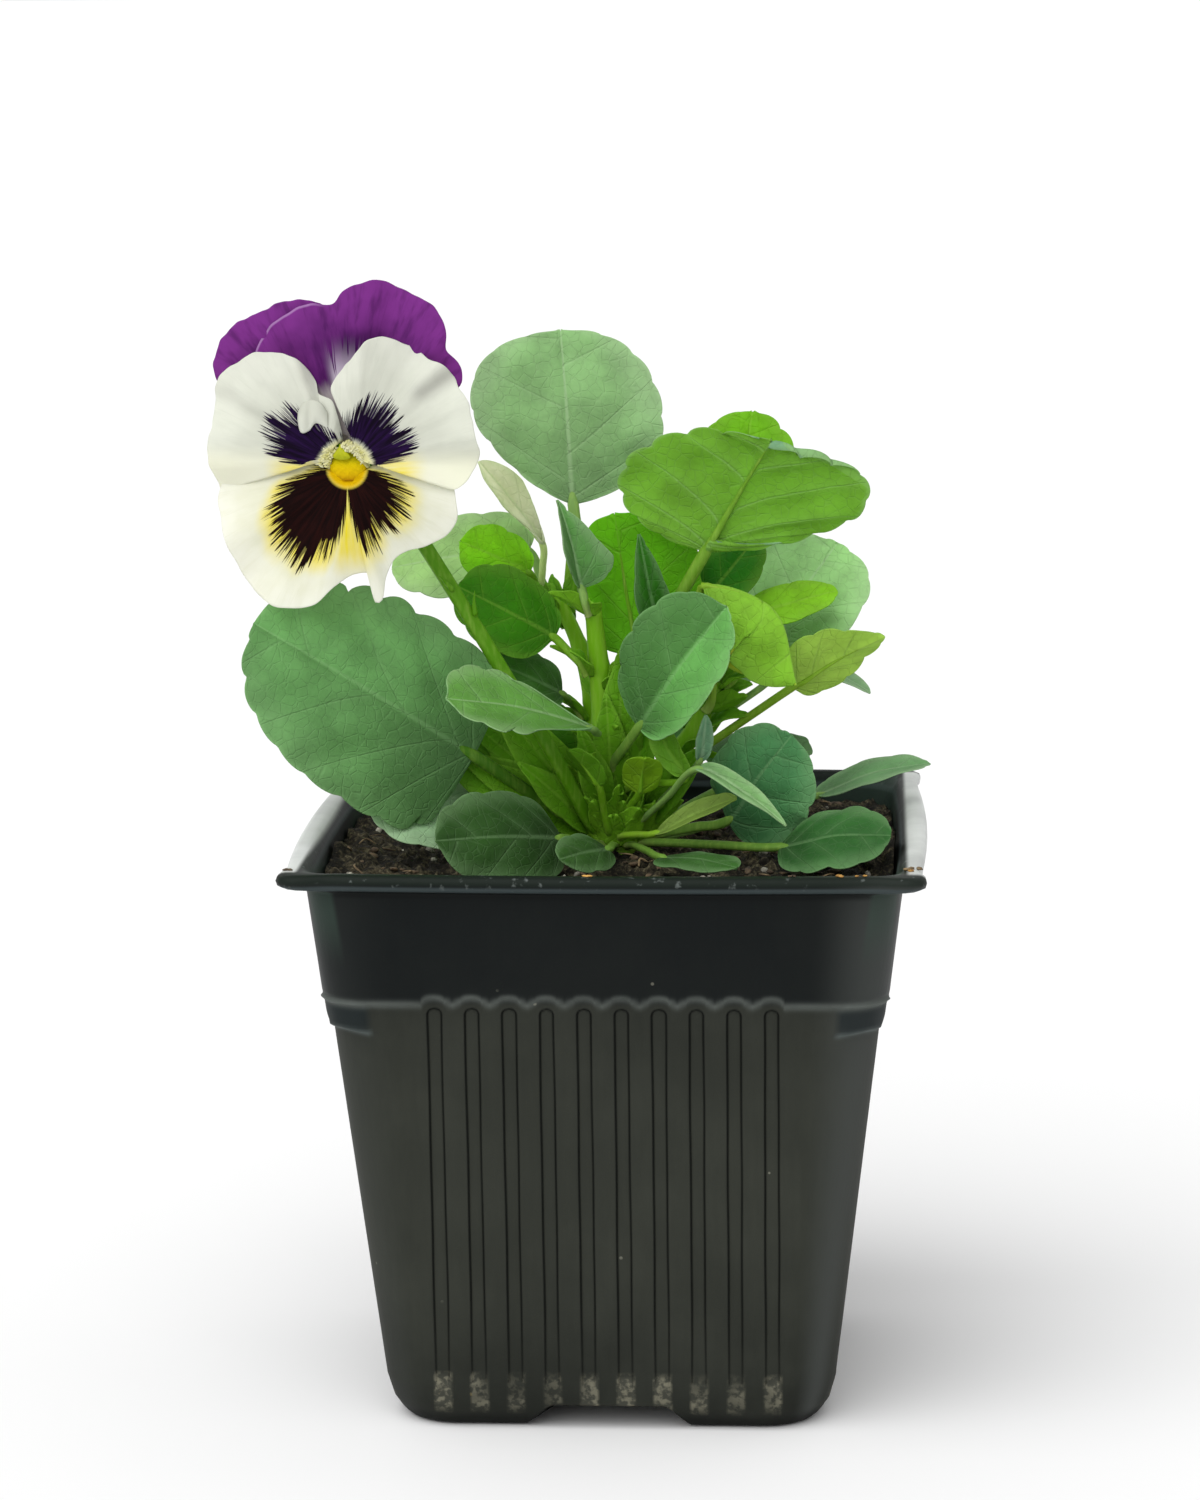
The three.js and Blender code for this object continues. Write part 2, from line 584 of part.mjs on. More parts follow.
// Where a leaf stalk or flower stalk starts, a hair off its carrier, and which way out.
function seatOn([carrier, first, second]) {
  if (carrier === 'crown') {
    const slope = degrees(second);
    const unit = compass(first).multiplyScalar(Math.cos(slope)).setZ(Math.sin(slope));
    const start = new THREE.Vector3(CROWN.radius, CROWN.radius, CROWN.height).multiply(unit);
    const out = start.clone().divide(new THREE.Vector3(
      CROWN.radius ** 2,
      CROWN.radius ** 2,
      CROWN.height ** 2,
    )).normalize();
    return { start: start.add(CROWN.center).addScaledVector(out, SEAT), out };
  }
  const curve = branchCurve(BRANCHES[carrier]);
  const out = compass(second).projectOnPlane(curve.getTangent(first)).normalize();
  const radius = branchRadius(BRANCHES[carrier], first);
  return { start: curve.getPoint(first).addScaledVector(out, radius + SEAT), out };
}

const branchCurve = ({ points }) => new THREE.CatmullRomCurve3(points.map(vector));

function branchRadius({ radii }, t) {
  const place = t * (radii.length - 1);
  const low = Math.min(Math.floor(place), radii.length - 2);
  return THREE.MathUtils.lerp(radii[low], radii[low + 1], place - low);
}

function makeBranch(branch) {
  const stops = Array.from({ length: BRANCH_STEPS + 1 }, (_, i) => i / BRANCH_STEPS);
  const shape = (t) => {
    const radius = branchRadius(branch, t);
    return { half: radius, thick: radius, rise: 0 };
  };
  const face = new THREE.Vector3(0, -1, 0);
  return toSolid(skin(ringsAlong(branchCurve(branch), stops, face, shape, ROUND_SIDES)));
}

// The crown's rounded body, grown by a margin.
function crownBall(margin) {
  const ball = new THREE.SphereGeometry(1, CROWN.around, CROWN.around / 2);
  ball.scale(CROWN.radius + margin, CROWN.radius + margin, CROWN.height + margin);
  ball.translate(...CROWN.center);
  return toSolid(ball);
}

// The crown and its branches grow as one.
function makeCrown() {
  let solid = crownBall(0);
  for (const branch of Object.values(BRANCHES)) {
    solid = solid.add(makeBranch(branch));
  }
  return toGeometry(solid);
}

// Width of a blade from neck to tip as a share of its greatest width.
function bladeOutline(share, belly) {
  const bent = share ** (Math.log(0.5) / Math.log(belly));
  return (1 - Math.abs(2 * bent - 1) ** BLADE_ROUNDNESS) ** (1 / BLADE_ROUNDNESS);
}

// Stops along a blade, close together at its round ends.
const bladeStops = (from, steps) => Array.from({ length: steps + 1 }, (_, i) => (
  from + (1 - from) * 0.5 * (1 - Math.cos((Math.PI * i) / steps))
));

function makeLeaf(leaf) {
  const { start, out } = seatOn(leaf.seat);
  const neck = vector(leaf.neck);
  const tip = vector(leaf.tip);
  const face = vector(leaf.face).normalize();
  const first = start.clone().addScaledVector(out, STALK_START);
  const middle = first.clone().lerp(neck, 0.5);
  const belly = neck.clone().lerp(tip, 0.5).addScaledVector(face, leaf.bow);
  const points = [start, first, middle, neck, belly, tip];
  const curve = new THREE.CatmullRomCurve3(points);
  const bladeFrom = points.indexOf(neck) / (points.length - 1);
  const stalkStops = Array.from({ length: PETIOLE_STEPS }, (_, i) => (bladeFrom * i) / PETIOLE_STEPS);
  const stalkHalf = STALK_LEAST + STALK_SHARE * leaf.width;
  const shape = (t) => {
    const share = Math.max(0, (t - bladeFrom) / (1 - bladeFrom));
    const wide = bladeOutline(share, leaf.belly);
    const rim = share > leaf.belly ? TIP_HALF : stalkHalf;
    const half = Math.max(rim, (leaf.width / 2) * wide);
    return {
      half,
      slide: (leaf.skew ?? 0) * half * wide,
      thick: THREE.MathUtils.lerp(stalkHalf, BLADE_HALF_THICK, Math.min(1, share / BLADE_THINNING)),
      rise: leaf.cup * wide,
    };
  };
  const stops = [...stalkStops, ...bladeStops(bladeFrom, BLADE_STEPS)];
  return skin(ringsAlong(curve, stops, face, shape, ROUND_SIDES));
}

// ---------------------------------------------------------------- flower
function makePetal(petal) {
  const aim = compass(petal.angle);
  const claw = aim.clone().multiplyScalar(CLAW_OUT).setZ(CLAW_BACK);
  const rise = aim.clone().multiplyScalar(CLAW_BEND.out).setZ(petal.neck[2] - CLAW_BEND.below);
  const neck = vector(petal.neck);
  const points = [claw, rise, neck, vector(petal.middle), vector(petal.tip)];
  const curve = new THREE.CatmullRomCurve3(points);
  const bladeFrom = points.indexOf(neck) / (points.length - 1);
  const face = new THREE.Vector3(0, 0, 1);
  const shape = (t) => {
    const share = Math.max(0, (t - bladeFrom) / (1 - bladeFrom));
    const wide = bladeOutline(share, PETAL_BELLY);
    return {
      half: Math.max(CLAW_HALF, (petal.width / 2) * wide),
      thick: PETAL_HALF_THICK,
      rise: petal.cup * wide,
    };
  };
  const stops = [0, bladeFrom / 2, ...bladeStops(bladeFrom, PETAL_STEPS)];
  return skin(ringsAlong(curve, stops, face, shape, ROUND_SIDES));
}

function makeSepal(number) {
  const aim = compass(90 + (360 * (number + 0.5)) / SEPAL_COUNT);
  const at = (out, back) => aim.clone().multiplyScalar(SEPAL.start + out).setZ(back);
  const curve = new THREE.CatmullRomCurve3([
    at(0, SEPAL.back),
    at(SEPAL.length / 2, SEPAL.back - SEPAL.middleDroop),
    at(SEPAL.length, SEPAL.back - SEPAL.tipDroop),
  ]);
  const shape = (t) => {
    const wide = bladeOutline(t, SEPAL.belly);
    return {
      half: Math.max(TIP_HALF, (SEPAL.width / 2) * wide),
      thick: PETAL_HALF_THICK,
      rise: SEPAL.cup * wide,
    };
  };
  const face = new THREE.Vector3(0, 0, 1);
  return skin(ringsAlong(curve, bladeStops(0, SEPAL.steps), face, shape, ROUND_SIDES));
}

function makeColumn() {
  const profile = COLUMN_PROFILE.map(([out, up]) => new THREE.Vector2(out, up));
  return new THREE.LatheGeometry(profile, COLUMN_SIDES).rotateX(Math.PI / 2);
}

function makeStalk(flower) {
  const { start, out } = seatOn(STALK.seat);
  flower.updateMatrixWorld();
  const curve = new THREE.CatmullRomCurve3([
    start,
    start.clone().addScaledVector(out, STALK_START),
    ...STALK.points.map(vector),
    ...STALK.end.map((point) => vector(point).applyMatrix4(flower.matrixWorld)),
  ]);
  const stops = Array.from({ length: STALK.steps + 1 }, (_, i) => i / STALK.steps);
  const shape = (t) => {
    const radius = t > STALK.widens ? RECEPTACLE_RADIUS : STALK.radius;
    return { half: radius, thick: radius, rise: 0 };
  };
  const face = new THREE.Vector3(1, -1, 0);
  return skin(ringsAlong(curve, stops, face, shape, ROUND_SIDES));
}

// ---------------------------------------------------------------- assembly
function piece(name, geometry, finish) {
  const mesh = new THREE.Mesh(geometry, new THREE.MeshStandardMaterial(finish));
  mesh.name = name;
  return mesh;
}

const petalFinish = (name) => {
  if (name.startsWith('upper')) return PURPLE_FINISH;
  return name === 'lower' ? CREAM_FINISH : WHITE_FINISH;
};

function makeFlower() {
  const flower = new THREE.Group();
  flower.position.set(...FLOWER_CENTER);
  flower.rotation.set(degrees(FLOWER_TURN.tilt), 0, degrees(FLOWER_TURN.swing), 'ZXY');
  for (const [name, petal] of Object.entries(PETALS)) {
    flower.add(piece(`petal_${name}`, makePetal(petal), petalFinish(name)));
  }
  for (let number = 0; number < SEPAL_COUNT; number += 1) {
    flower.add(piece(`sepal_${number + 1}`, makeSepal(number), LEAF_FINISH.bright));
  }
  flower.add(piece('flower_column', makeColumn(), EYE_FINISH));
  return flower;
}

const planter = new THREE.Group();
const flower = makeFlower();
planter.add(piece('pot', makePot(), POT_FINISH));
planter.add(piece('soil', makeSoil(), SOIL_FINISH));
planter.add(piece('crown', makeCrown(), STEM_FINISH));
planter.add(piece('flower_stalk', makeStalk(flower), STEM_FINISH));
planter.add(flower);
for (const [name, leaf] of Object.entries(LEAVES)) {
  planter.add(piece(`leaf_${name}`, makeLeaf(leaf), LEAF_FINISH[leaf.tone]));
}

export default planter;
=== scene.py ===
import math

import bpy
import numpy as np
from mathutils import Matrix, Vector, noise


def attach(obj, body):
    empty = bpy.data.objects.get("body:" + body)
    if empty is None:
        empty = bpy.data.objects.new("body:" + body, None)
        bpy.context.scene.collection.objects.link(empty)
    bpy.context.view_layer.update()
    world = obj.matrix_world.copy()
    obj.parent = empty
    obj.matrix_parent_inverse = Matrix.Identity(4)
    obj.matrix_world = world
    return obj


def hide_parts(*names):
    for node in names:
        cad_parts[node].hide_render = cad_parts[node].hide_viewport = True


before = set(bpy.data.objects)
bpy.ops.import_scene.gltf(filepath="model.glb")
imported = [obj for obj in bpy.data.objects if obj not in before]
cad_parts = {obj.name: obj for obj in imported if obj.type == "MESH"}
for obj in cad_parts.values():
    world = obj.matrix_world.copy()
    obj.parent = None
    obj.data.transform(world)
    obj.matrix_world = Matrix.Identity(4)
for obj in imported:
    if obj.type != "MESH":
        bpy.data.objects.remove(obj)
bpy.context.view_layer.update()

MM = 0.001

# ---------------------------------------------------------------- camera and stage
CAMERA_PLACE = (37.7, -685.0, 210.4)
CAMERA_YAW = -3.353
CAMERA_PITCH = 9.504
CAMERA_ROLL = -0.387
CAMERA_LENS = 111.48
CAMERA_SENSOR = 36.0
CAMERA_REACH = 100.0
FLOOR_RADIUS = 40.0
FLOOR_SIDES = 96
FLOOR_COLOR = (0.9, 0.9, 0.9, 1)
SUN_STRENGTH = 2.3
SUN_SPREAD = 70.0
SUN_TURN = (38.0, -16.0, -8.0)
SKY_LOW = 1.15
SKY_HIGH = 0.75
SKY_FOOT = 0.02
SKY_HEAD = 0.5

# ---------------------------------------------------------------- pot
POT_HEIGHT = 85.0
# Outside of the pot from the table up: height, half width, corner radius, outward bow of
# each side at its middle, and flare of the corners.
POT_OUTSIDE = np.array([
    (0, 29, 7, 0, 0), (0.35, 30.2, 7.8, 0, 0), (1, 31, 8.6, 0, 0), (3, 32.3, 9.6, 0, 0),
    (6.4, 33.2, 9.6, 0, 0), (65, 39.9, 8.4, 0, 0), (65.9, 40.75, 8.2, 0.1, 0),
    (66.3, 40.9, 8.2, 0.1, 0), (81.9, 42.7, 7.6, 0.8, 0), (82.3, 43.1, 7.4, 0.9, 0.4),
    (82.5, 44.0, 6.8, 1.1, 1.2), (82.8, 44.7, 6.5, 1.2, 2.0), (83.3, 45.1, 6.2, 1.3, 2.5),
    (84, 45.2, 6, 1.3, 2.6), (84.6, 45.0, 6, 1.3, 2.6), (84.92, 44.6, 6, 1.3, 2.4),
    (85, 44.2, 6, 1.3, 2.2),
])
# Inside of the pot from the rim down.
POT_INSIDE = np.array([
    (85, 43.4, 6, 1.3, 1.7), (84.85, 42.7, 6, 1.2, 1.0), (84.3, 42.3, 6, 1.1, 0.5),
    (83.4, 41.8, 6.1, 0.9, 0), (82.6, 41.5, 6.2, 0.8, 0), (66.4, 39.4, 7, 0.1, 0),
    (64.6, 38.5, 7.2, 0, 0), (8, 32, 8.3, 0, 0), (5.6, 31.2, 8, 0, 0),
])
# Half width of the collar's outside: at the table, carried down, and how fast it grows with height.
POT_FOOT_HALF = 33.25
POT_SLOPE = 0.1154
GROOVE_COUNT = 10
GROOVE_PITCH = 5.35
GROOVE_WIDTH = 2.2
GROOVE_DEPTH = 0.6
GROOVE_BOTTOM = 7.0
GROOVE_TOP = 64.8
GROOVE_EDGE_LINE = 0.2
ARCH_HEIGHT = 1.1
ARCH_SPREAD = 1.75
LUG_BOTTOM = 60.4
LUG_OUT = 0.95
LUG_REACH = 7.0
NOTCH_HALF = 13.0
NOTCH_SHOULDER = 5.0
NOTCH_HEIGHT = 3.8
NOTCH_FADE = 9.0
LEDGE_MIDDLE = 65.6
LEDGE_SPREAD = 2.4
BEAD_HEIGHT = 65.5
BEAD_OUT = 0.22
COLLAR_FOOT_HALF = 40.4
GROOVE_SPAN = 26.0


# ---------------------------------------------------------------- curves and frames
def unit(vectors):
    """Vectors of length one in the same directions."""
    vectors = np.asarray(vectors, float)
    return vectors / np.maximum(np.linalg.norm(vectors, axis=-1, keepdims=True), 1e-12)


def compass(angle):
    return np.array([math.cos(math.radians(angle)), math.sin(math.radians(angle)), 0.0])


def smooth(low, high, x):
    """0 below low, 1 above high, and a smooth rise between them."""
    share = np.clip((np.asarray(x, float) - low) / (high - low), 0, 1)
    return share * share * (3 - 2 * share)


HEADING_STEP = 1e-3
EVEN_STEPS = 40


class Curve:
    """A centripetal Catmull-Rom curve through points, with t from 0 to 1 in equal steps per point."""

    def __init__(self, points):
        points = np.asarray(points, float)
        self.spans = len(points) - 1
        self.ends = np.vstack([
            2 * points[0] - points[1], points, 2 * points[-1] - points[-2],
        ])

    def at(self, t):
        place = np.clip(np.asarray(t, float), 0, 1) * self.spans
        k = np.minimum(place.astype(int), self.spans - 1)
        w = (place - k)[..., None]
        p0, p1, p2, p3 = (self.ends[k + i] for i in range(4))
        d0, d1, d2 = (
            np.sqrt(np.linalg.norm(b - a, axis=-1, keepdims=True))
            for a, b in ((p0, p1), (p1, p2), (p2, p3))
        )
        m1 = ((p1 - p0) / d0 - (p2 - p0) / (d0 + d1) + (p2 - p1) / d1) * d1
        m2 = ((p2 - p1) / d1 - (p3 - p1) / (d1 + d2) + (p3 - p2) / d2) * d1
        return (p1 + m1 * w + (-3 * p1 + 3 * p2 - 2 * m1 - m2) * w**2
                + (2 * p1 - 2 * p2 + m1 + m2) * w**3)

    def heading(self, t):
        t = np.asarray(t, float)
        return unit(self.at(np.minimum(t + HEADING_STEP, 1)) - self.at(np.maximum(t - HEADING_STEP, 0)))

    def frame(self, t, face):
        """Place, heading, sideways and up directions at t, where up leans to face."""
        ahead = self.heading(t)
        across = unit(np.cross(ahead, face))
        return self.at(t), ahead, across, unit(np.cross(across, ahead))

    def even(self, count):
        """Points along the curve at equal distances."""
        points = self.at(np.linspace(0, 1, EVEN_STEPS * self.spans + 1))
        steps = np.linalg.norm(np.diff(points, axis=0), axis=1)
        far = np.concatenate([[0], np.cumsum(steps)])
        return np.stack([
            np.interp(np.linspace(0, far[-1], count), far, points[:, i]) for i in range(3)
        ], axis=1)


# ---------------------------------------------------------------- meshes
def placed(name, data):
    """A new object in the scene."""
    made = bpy.data.objects.new(name, data)
    bpy.context.scene.collection.objects.link(made)
    return made


def ring_faces(rows, ring):
    """Faces between rows of closed rings."""
    row, col = np.meshgrid(np.arange(rows - 1), np.arange(ring), indexing="ij")
    after = (col + 1) % ring
    quads = np.stack([
        row * ring + col, row * ring + after, (row + 1) * ring + after, (row + 1) * ring + col,
    ], axis=-1)
    return quads.reshape(-1, 4)


def ball(rows, ring):
    """Rings of points of a ball of radius one, without its poles."""
    lat = np.linspace(-1, 1, rows + 2)[1:-1] * math.pi / 2
    lon = np.arange(ring) * 2 * math.pi / ring
    lat, lon = np.meshgrid(lat, lon, indexing="ij")
    return np.stack([np.cos(lat) * np.cos(lon), np.cos(lat) * np.sin(lon), np.sin(lat)], axis=-1)


class Shape:
    """Points in millimetres, faces, and numbers at each point, of a piece that is being made."""

    def __init__(self):
        self.points, self.faces, self.marks, self.materials = [], [], [], []
        self.count = 0

    def add(self, points, quads, others=(), material=0, **marks):
        """Adds one closed part and turns its faces out."""
        points = np.asarray(points, float).reshape(-1, 3)
        quads = np.asarray(quads, int).reshape(-1, 4)
        a, b, c, d = (points[quads[:, i]] for i in range(4))
        volume = (np.cross(a, b) * c).sum() + (np.cross(a, c) * d).sum()
        for face in others:
            for i in range(1, len(face) - 1):
                volume += np.cross(points[face[0]], points[face[i]]) @ points[face[i + 1]]
        faces = quads.tolist() + [list(face) for face in others]
        if volume < 0:
            faces = [face[::-1] for face in faces]
        self.faces += [[i + self.count for i in face] for face in faces]
        self.materials += [material] * len(faces)
        self.points.append(points)
        self.marks.append((len(points), marks))
        self.count += len(points)

    def rings(self, grid, material=0, **marks):
        """A closed part from a grid whose rows are rings, with a face over each end."""
        rows, ring = grid.shape[:2]
        last = (rows - 1) * ring
        caps = [range(ring)[::-1], range(last, last + ring)]
        self.add(grid, ring_faces(rows, ring), caps, material, **marks)

    def sheet(self, top, bottom, material=0, **marks):
        """A thin closed sheet between two grids of points. A mark is one grid for both faces, or two."""
        rows, cols = top.shape[:2]
        ring = 2 * cols

        def join(pair):
            return np.concatenate([pair[0], pair[1][:, ::-1]], axis=1)

        points = join((top, bottom))
        c = np.arange(cols - 1)
        last = (rows - 1) * ring
        caps = np.concatenate([
            np.stack([c + 1, c, ring - 1 - c, ring - 2 - c], axis=1),
            last + np.stack([c, c + 1, ring - 2 - c, ring - 1 - c], axis=1),
        ])
        flat = {}
        for key, value in marks.items():
            pair = value if isinstance(value, tuple) else (value, value)
            joined = join(pair)
            flat[key] = joined.reshape(rows * ring, *joined.shape[2:])
        self.add(points, np.concatenate([ring_faces(rows, ring), caps]), (), material, **flat)

    def tube(self, curve, stops, radii, face, sides=12, channel=0.0, drop=None, material=0, **marks):
        """A tube along a curve with a channel down its upper side, lowered by drop at each stop."""
        stops = np.asarray(stops, float)
        radii = np.broadcast_to(np.asarray(radii, float), stops.shape)
        place, _, across, up = curve.frame(stops, face)
        if drop is not None:
            place = place - up * np.asarray(drop, float)[:, None]
        angle = np.linspace(0, 2 * math.pi, sides, endpoint=False)
        round_up = np.sin(angle) * (1 - channel * np.clip(np.sin(angle), 0, 1) ** 3)
        rings = (place[:, None] + radii[:, None, None] * (
            across[:, None] * np.cos(angle)[None, :, None] + up[:, None] * round_up[None, :, None]))
        spread = {key: np.repeat(np.broadcast_to(np.asarray(value, float), stops.shape), sides)
                  for key, value in marks.items()}
        self.rings(rings, material, **spread)

    def make(self, name, materials, node):
        """The finished piece, riding on the object, in place of the CAD node that is named."""
        mesh = bpy.data.meshes.new(name)
        points = np.concatenate(self.points)
        mesh.from_pydata((points * MM).tolist(), [], self.faces)
        keys = sorted({key for _, marks in self.marks for key in marks})
        for key in keys:
            blank = next(np.asarray(marks[key]) for _, marks in self.marks if key in marks)
            wide = blank.ndim == 2
            values = np.concatenate([
                np.asarray(marks[key], float) if key in marks
                else np.zeros((count, 3) if wide else count) for count, marks in self.marks
            ])
            kind, field = ("FLOAT_VECTOR", "vector") if wide else ("FLOAT", "value")
            layer = mesh.attributes.new(key, kind, "POINT")
            layer.data.foreach_set(field, values.astype(np.float32).ravel())
        mesh.polygons.foreach_set("material_index", self.materials)
        mesh.shade_smooth()
        for material in materials:
            mesh.materials.append(material)
        piece = placed(name, mesh)
        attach(piece, "root")
        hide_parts(node)


# ---------------------------------------------------------------- materials
NOISE_ROUGHNESS = 0.55


def shade(hex_color):
    """A colour as the eye names it, in the renderer's linear numbers."""
    parts = [((hex_color >> k) & 255) / 255 for k in (16, 8, 0)]
    return (*[c / 12.92 if c <= 0.04045 else ((c + 0.055) / 1.055) ** 2.4 for c in parts], 1.0)


class Value:
    """A number, colour or direction in a paint. Sums and products of values add nodes."""

    def __init__(self, paint, socket):
        self.paint, self.socket = paint, socket

    def __add__(self, other):
        return self.paint.math("ADD", self, other)

    def __sub__(self, other):
        return self.paint.math("SUBTRACT", self, other)

    def __rsub__(self, other):
        return self.paint.math("SUBTRACT", other, self)

    def __mul__(self, other):
        return self.paint.math("MULTIPLY", self, other)

    def __truediv__(self, other):
        return self.paint.math("DIVIDE", self, other)

    def __abs__(self):
        return self.paint.math("ABSOLUTE", self)


class Paint:
    """A material, or another block with nodes, under construction. Each call adds a node."""

    def __init__(self, name, blocks=None):
        self.block = (bpy.data.materials if blocks is None else blocks).new(name)
        self.block.use_nodes = True
        self.tree = self.block.node_tree
        self.tree.nodes.clear()

    def node(self, kind, inputs=(), output=0, **settings):
        """A new node's output. Inputs are values, numbers, or colours such as 0x808080."""
        made = self.tree.nodes.new(kind)
        for key, value in settings.items():
            setattr(made, key, value)
        for key, value in dict(inputs).items():
            socket = made.inputs[key]
            if isinstance(value, Value):
                self.tree.links.new(value.socket, socket)
            elif socket.type == "RGBA" and isinstance(value, int):
                socket.default_value = shade(value)
            elif value is not None:
                socket.default_value = value
        return Value(self, made.outputs[output]) if made.outputs else None

    def mark(self, name, output="Fac"):
        return self.node("ShaderNodeAttribute", (), output, attribute_name=name)

    def place(self):
        return self.node("ShaderNodeTexCoord", (), "Object")

    def drawn(self, share):
        """The place, drawn out along Z."""
        return self.node("ShaderNodeMapping", {"Vector": self.place(), "Scale": (1, 1, share)})

    def split(self, vector):
        """The three parts of a vector."""
        parts = self.node("ShaderNodeSeparateXYZ", {0: vector}).socket.node.outputs
        return [Value(self, socket) for socket in parts]

    def math(self, operation, a, b=0.0, clamp=False):
        return self.node("ShaderNodeMath", {0: a, 1: b}, operation=operation, use_clamp=clamp)

    def most(self, a, b):
        return self.math("MAXIMUM", a, b)

    def step(self, low, high, x):
        """0 below low, 1 above high, smooth between. Low may be above high."""
        return self.node("ShaderNodeMapRange", {"Value": x, "From Min": low, "From Max": high},
                         interpolation_type="SMOOTHSTEP")

    def mix(self, share, a, b, blend="MIX"):
        return self.node("ShaderNodeMix", {0: share, 6: a, 7: b}, 2, data_type="RGBA", blend_type=blend)

    def coat(self, color, *layers):
        """A colour under layers, each of them a share and a colour."""
        for share, tint in layers:
            color = self.mix(share, color, tint)
        return color

    def noise(self, scale, detail, vector=None):
        return self.node("ShaderNodeTexNoise", {"Vector": vector or self.place(), "Scale": scale,
                                                "Detail": detail, "Roughness": NOISE_ROUGHNESS})

    def cells(self, scale, feature, vector=None):
        return self.node("ShaderNodeTexVoronoi", {"Vector": vector or self.place(), "Scale": scale},
                         "Distance", feature=feature)

    def ramp(self, x, stops):
        """Goes straight from stop to stop, each of them a place and a number or a colour."""
        made = self.node("ShaderNodeValToRGB", {0: x})
        elements = made.socket.node.color_ramp.elements
        while len(elements) < len(stops):
            elements.new(1.0)
        for element, (at, value) in zip(elements, stops):
            element.position = at
            element.color = shade(value) if isinstance(value, int) else (value, value, value, 1)
        return made

    def bump(self, height, distance, strength):
        """A normal that leans with the height, which is distance millimetres at 1."""
        return self.node("ShaderNodeBump", {
            "Height": height, "Distance": distance * MM, "Strength": strength})

    def finish(self, color, roughness, normal=None, glow=None, share=0.0, specular=0.5):
        """Ends in a Principled shader, with a share of Translucent in colour glow."""
        out = self.node("ShaderNodeBsdfPrincipled", {
            "Base Color": color, "Roughness": roughness, "Normal": normal, "Specular IOR Level": specular})
        if glow is not None:
            through = self.node("ShaderNodeBsdfTranslucent", {"Color": glow})
            out = self.node("ShaderNodeMixShader", {0: share, 1: out, 2: through})
        self.node("ShaderNodeOutputMaterial", {0: out})
        return self.block


# ---------------------------------------------------------------- stage
def make_camera():
    yaw, pitch, roll = (math.radians(a) for a in (CAMERA_YAW, CAMERA_PITCH, CAMERA_ROLL))
    ahead = np.array([
        math.sin(yaw) * math.cos(pitch), math.cos(yaw) * math.cos(pitch), -math.sin(pitch),
    ])
    right = unit(np.cross(ahead, (0, 0, 1)))
    above = np.cross(right, ahead)
    turned_right = right * math.cos(roll) + above * math.sin(roll)
    turned_up = above * math.cos(roll) - right * math.sin(roll)
    data = bpy.data.cameras.new("camera")
    data.lens = CAMERA_LENS
    data.sensor_width = CAMERA_SENSOR
    data.clip_end = CAMERA_REACH
    camera = placed("camera", data)
    turn = Matrix(np.stack([turned_right, turned_up, -ahead], axis=1).tolist()).to_4x4()
    camera.matrix_world = Matrix.Translation(Vector(CAMERA_PLACE) * MM) @ turn
    bpy.context.scene.camera = camera


def make_stage():
    angles = np.linspace(0, 2 * math.pi, FLOOR_SIDES, endpoint=False)
    mesh = bpy.data.meshes.new("floor")
    mesh.from_pydata([(FLOOR_RADIUS * math.cos(a), FLOOR_RADIUS * math.sin(a), 0) for a in angles], [],
                     [list(range(FLOOR_SIDES))])
    mesh.materials.append(Paint("floor_white").finish(FLOOR_COLOR, 0.8, specular=0.1))
    placed("floor", mesh)

    sun = bpy.data.lights.new("sun", "SUN")
    sun.energy = SUN_STRENGTH
    sun.angle = math.radians(SUN_SPREAD)
    placed("sun", sun).rotation_euler = [math.radians(a) for a in SUN_TURN]

    sky = Paint("sky", bpy.data.worlds)
    rise = sky.split(sky.node("ShaderNodeTexCoord", (), "Generated"))[2]
    glow = sky.node("ShaderNodeMapRange", {
        "Value": rise, "From Min": SKY_FOOT, "From Max": SKY_HEAD, "To Min": SKY_LOW, "To Max": SKY_HIGH})
    sky.node("ShaderNodeOutputWorld", {0: sky.node("ShaderNodeBackground", {"Strength": glow})})
    bpy.context.scene.world = sky.block
    bpy.context.scene.view_settings.view_transform = "Standard"


# ---------------------------------------------------------------- pot
def groove_middles():
    return GROOVE_PITCH * (np.arange(GROOVE_COUNT) - (GROOVE_COUNT - 1) / 2)


def side_columns():
    """Places across one side of the pot, close together at the edges of each groove."""
    near_edge = np.array([0.45, 0.16, 0.06, -0.03, -0.12, -0.2, -0.29, -0.45])
    offsets = GROOVE_WIDTH / 2 + near_edge
    around = np.concatenate([-offsets, [0], offsets[::-1]])
    columns = np.concatenate([middle + around for middle in groove_middles()])
    ribs = groove_middles()[:-1] + GROOVE_PITCH / 2
    return np.sort(np.concatenate([columns, ribs, [-GROOVE_SPAN, GROOVE_SPAN]]))


def groove_depth(x, z):
    """How deep the grooves cut in at a place on a side, with a finer line along their edges, and where
    their edges get painted shade.
    """
    nearest = np.abs(x[..., None] - groove_middles()).argmin(axis=-1)
    u = np.abs(x - groove_middles()[nearest])
    # Each edge line wanders a little on its way down.
    wander = 0.05 * np.sin(z * 0.21 + nearest * 2.3) * np.sin(z * 0.083 + nearest)
    u = u + wander
    radius = GROOVE_WIDTH / 2
    head = GROOVE_TOP - radius
    reach = np.where(z > head, np.hypot(u, z - head), u) - radius
    foot = smooth(GROOVE_BOTTOM, GROOVE_BOTTOM + 0.6, z)
    floor = 0.55 * GROOVE_DEPTH * smooth(0.08, -0.14, reach)
    line = GROOVE_EDGE_LINE * np.exp(-((reach + 0.12) / 0.09) ** 2)
    fade = smooth(GROOVE_BOTTOM - 1, GROOVE_BOTTOM + 14, z) * 0.45 + 0.55
    return (floor + line) * foot * fade, np.exp(-((reach + 0.1) / 0.13) ** 2) * foot * fade


